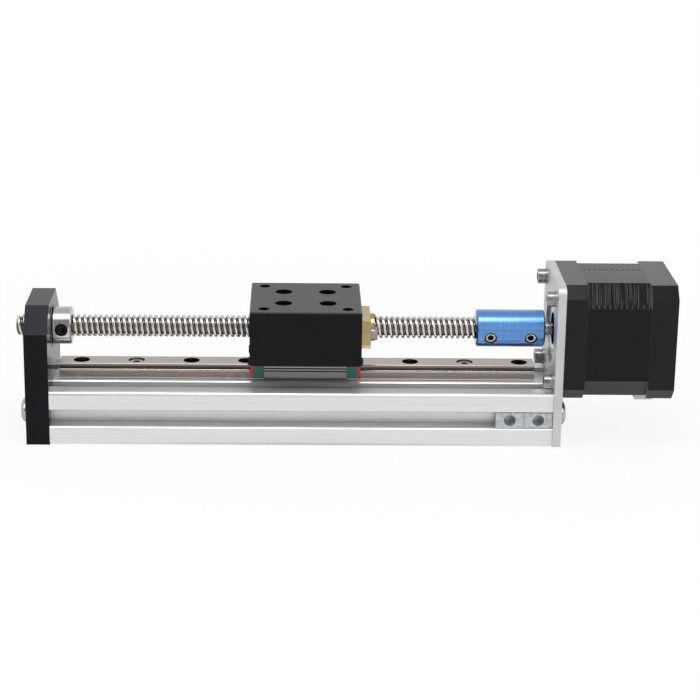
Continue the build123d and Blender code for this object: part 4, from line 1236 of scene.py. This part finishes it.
def set_camera(settings):
    """Camera from its place, yaw, pitch and roll: it looks along local -Z with local +Y up."""
    yaw, pitch, roll = (
        math.radians(a) for a in (settings.camera_yaw, settings.camera_pitch, settings.camera_roll)
    )
    forward = Vector((math.sin(yaw) * math.cos(pitch), math.cos(yaw) * math.cos(pitch), math.sin(pitch)))
    level = Vector((math.cos(yaw), -math.sin(yaw), 0))
    up = level.cross(forward)
    right = level * math.cos(roll) + up * math.sin(roll)
    top = up * math.cos(roll) - level * math.sin(roll)
    data = bpy.data.cameras.new("photo camera")
    data.sensor_width = SENSOR_WIDTH
    data.sensor_fit = "HORIZONTAL"
    data.lens = settings.camera_lens
    camera = bpy.data.objects.new("photo camera", data)
    bpy.context.scene.collection.objects.link(camera)
    turned = Matrix((right, top, -forward)).transposed().to_4x4()
    camera.matrix_world = Matrix.Translation(Vector(settings.camera_place)) @ turned
    bpy.context.scene.camera = camera


def soft_lamp(name, place, size, power):
    """Rectangular lamp at a place, facing the object."""
    data = bpy.data.lights.new(name, "AREA")
    data.shape = "RECTANGLE"
    data.size, data.size_y = size
    data.energy = power
    lamp = bpy.data.objects.new(name, data)
    bpy.context.scene.collection.objects.link(lamp)
    lamp.location = place
    lamp.rotation_mode = "QUATERNION"
    lamp.rotation_quaternion = (Vector(LAMP_TARGET) - Vector(place)).to_track_quat("-Z", "Y")


def map_range(tree, value, source, target):
    """Map Range from one (low, high) to another along a smooth step; an end of target may be a socket."""
    made = tree.nodes.new("ShaderNodeMapRange")
    made.interpolation_type = "SMOOTHSTEP"
    made.inputs["From Min"].default_value, made.inputs["From Max"].default_value = source
    for name, level in zip(("To Min", "To Max"), target):
        if isinstance(level, bpy.types.NodeSocket):
            tree.links.new(level, made.inputs[name])
        else:
            made.inputs[name].default_value = level
    tree.links.new(value, made.inputs["Value"])
    return made.outputs["Result"]


def set_world():
    """Studio round the object: white near the horizon behind it, a dimmer ceiling and a dim room in front.

    The room is dimmest low in front and to the left, with a dark line along the horizon. The level is the
    product of the ceiling's, the room's and the horizon's. The room's goes from 1 to the side's level as
    the direction turns to the front."""
    world = bpy.data.worlds.new("studio")
    bpy.context.scene.world = world
    world.use_nodes = True
    tree = world.node_tree
    tree.nodes.clear()
    coordinate = tree.nodes.new("ShaderNodeTexCoord")
    split = tree.nodes.new("ShaderNodeSeparateXYZ")
    tree.links.new(coordinate.outputs["Generated"], split.inputs["Vector"])
    level = map_range(tree, split.outputs["Z"], *CEILING)
    front = map_range(tree, split.outputs["Y"], *FRONT)
    side = map_range(tree, split.outputs["X"], *SIDE)
    room = map_range(tree, front, (0, 1), (1, side))
    horizon = map_range(tree, split.outputs["Z"], *HORIZON)
    for factor in (room, horizon):
        product = tree.nodes.new("ShaderNodeMath")
        product.operation = "MULTIPLY"
        tree.links.new(level, product.inputs[0])
        tree.links.new(factor, product.inputs[1])
        level = product.outputs["Value"]
    lit = tree.nodes.new("ShaderNodeBackground")
    tree.links.new(level, lit.inputs["Strength"])
    white = tree.nodes.new("ShaderNodeBackground")
    white.inputs["Color"].default_value = (1, 1, 1, 1)
    path = tree.nodes.new("ShaderNodeLightPath")
    mixed = tree.nodes.new("ShaderNodeMixShader")
    tree.links.new(path.outputs["Is Camera Ray"], mixed.inputs["Fac"])
    tree.links.new(lit.outputs["Background"], mixed.inputs[1])
    tree.links.new(white.outputs["Background"], mixed.inputs[2])
    output = tree.nodes.new("ShaderNodeOutputWorld")
    tree.links.new(mixed.outputs["Shader"], output.inputs["Surface"])


def floor_level(made, scale, span, levels):
    """A level of the floor that goes from one to another over a span of the distance from the middle."""
    distance = made.vectors("LENGTH", made.point(scale), None, "Value")
    return map_range(made.tree, distance, span, levels)


def floor_material(tint):
    """Plain pale floor that keeps the object's shadow and turns white further away.

    What metal shows of it is a glow alone, dim close under the object: a painted shadow."""
    made = Recipe("pale floor", tint, 0, 0.7)
    made.shader.inputs["Specular IOR Level"].default_value = 0.1
    made.into(made.shade(made.noise(made.point(), 3), 0.99, 1.01), "Base Color")
    path = made.node("ShaderNodeLightPath")
    camera = path.outputs["Is Camera Ray"]
    mirrored = made.sums("MAXIMUM", path.outputs["Is Glossy Ray"], path.outputs["Is Transmission Ray"])
    direct = made.sums("MULTIPLY", floor_level(made, *FLOOR_SEEN), camera)
    # metal sees a glow that is dim close under the object: a painted shadow
    shadowed_glow = made.sums("MULTIPLY", floor_level(made, *FLOOR_MIRRORED_SHADOW), mirrored)
    glow = made.node("ShaderNodeEmission")
    made.link(made.sums("MAXIMUM", shadowed_glow, camera), glow.inputs["Strength"])
    mixed = made.node("ShaderNodeMixShader")
    made.link(made.sums("MAXIMUM", direct, mirrored), mixed.inputs["Fac"])
    made.link(made.shader.outputs["BSDF"], mixed.inputs[1])
    made.link(glow.outputs["Emission"], mixed.inputs[2])
    made.link(mixed.outputs["Shader"], made.tree.nodes["Material Output"].inputs["Surface"])
    return made.material


class STAGE_OT_studio(Operator):
    """Floor, lamps, world and camera"""

    bl_idname = "stage.studio"
    bl_label = "Studio"

    def execute(self, context):
        settings = context.scene.stage_studio
        mesh = bpy.data.meshes.new("floor")
        around = ((-1, -1), (1, -1), (1, 1), (-1, 1))
        square = [(x * FLOOR_REACH, y * FLOOR_REACH, FLOOR_DROP) for x, y in around]
        mesh.from_pydata(square, [], [(0, 1, 2, 3)])
        mesh.materials.append(floor_material(settings.floor))
        floor = bpy.data.objects.new("floor", mesh)
        context.scene.collection.objects.link(floor)
        soft_lamp("softbox", SOFTBOX_PLACE, SOFTBOX_SIZE, settings.box_power)
        right, *rest = FILL_PLACE
        soft_lamp("left fill", (-right, *rest), FILL_SIZE, settings.fill_power)
        soft_lamp("right fill", FILL_PLACE, FILL_SIZE, settings.fill_power)
        set_world()
        set_camera(settings)
        context.scene.view_settings.view_transform = "Standard"
        return {"FINISHED"}


STEPS = [
    STAGE_OT_lead_screw,
    STAGE_OT_plate_screws,
    STAGE_OT_cap_screws,
    STAGE_OT_set_screws,
    STAGE_OT_stator_skin,
    STAGE_OT_motor_finish,
    STAGE_OT_base_finish,
    STAGE_OT_carriage_finish,
    STAGE_OT_drive_finish,
    STAGE_OT_studio,
]
GROUPS = {
    "stage_thread": StageThreadSettings,
    "stage_fasteners": StageFastenerSettings,
    "stage_block": StageBlockSettings,
    "stage_motor": StageMotorSettings,
    "stage_finish": StageFinishSettings,
    "stage_studio": StageStudioSettings,
}


class STAGE_PT_steps(Panel):
    """Lists the steps that dress the stage"""

    bl_idname = "STAGE_PT_steps"
    bl_label = "Lead screw stage"
    bl_space_type = "VIEW_3D"
    bl_region_type = "UI"
    bl_category = "Stage"

    def draw(self, context):
        for step in STEPS:
            self.layout.operator(step.bl_idname)


def register():
    for group in GROUPS.values():
        bpy.utils.register_class(group)
    for name, group in GROUPS.items():
        setattr(bpy.types.Scene, name, PointerProperty(type=group))
    for step in STEPS:
        bpy.utils.register_class(step)
    bpy.utils.register_class(STAGE_PT_steps)


def unregister():
    bpy.utils.unregister_class(STAGE_PT_steps)
    for step in reversed(STEPS):
        bpy.utils.unregister_class(step)
    for name, group in GROUPS.items():
        delattr(bpy.types.Scene, name)
        bpy.utils.unregister_class(group)


def main():
    register()
    for step in STEPS:
        area, name = step.bl_idname.split(".")
        getattr(getattr(bpy.ops, area), name)()


if __name__ == "__main__":
    main()
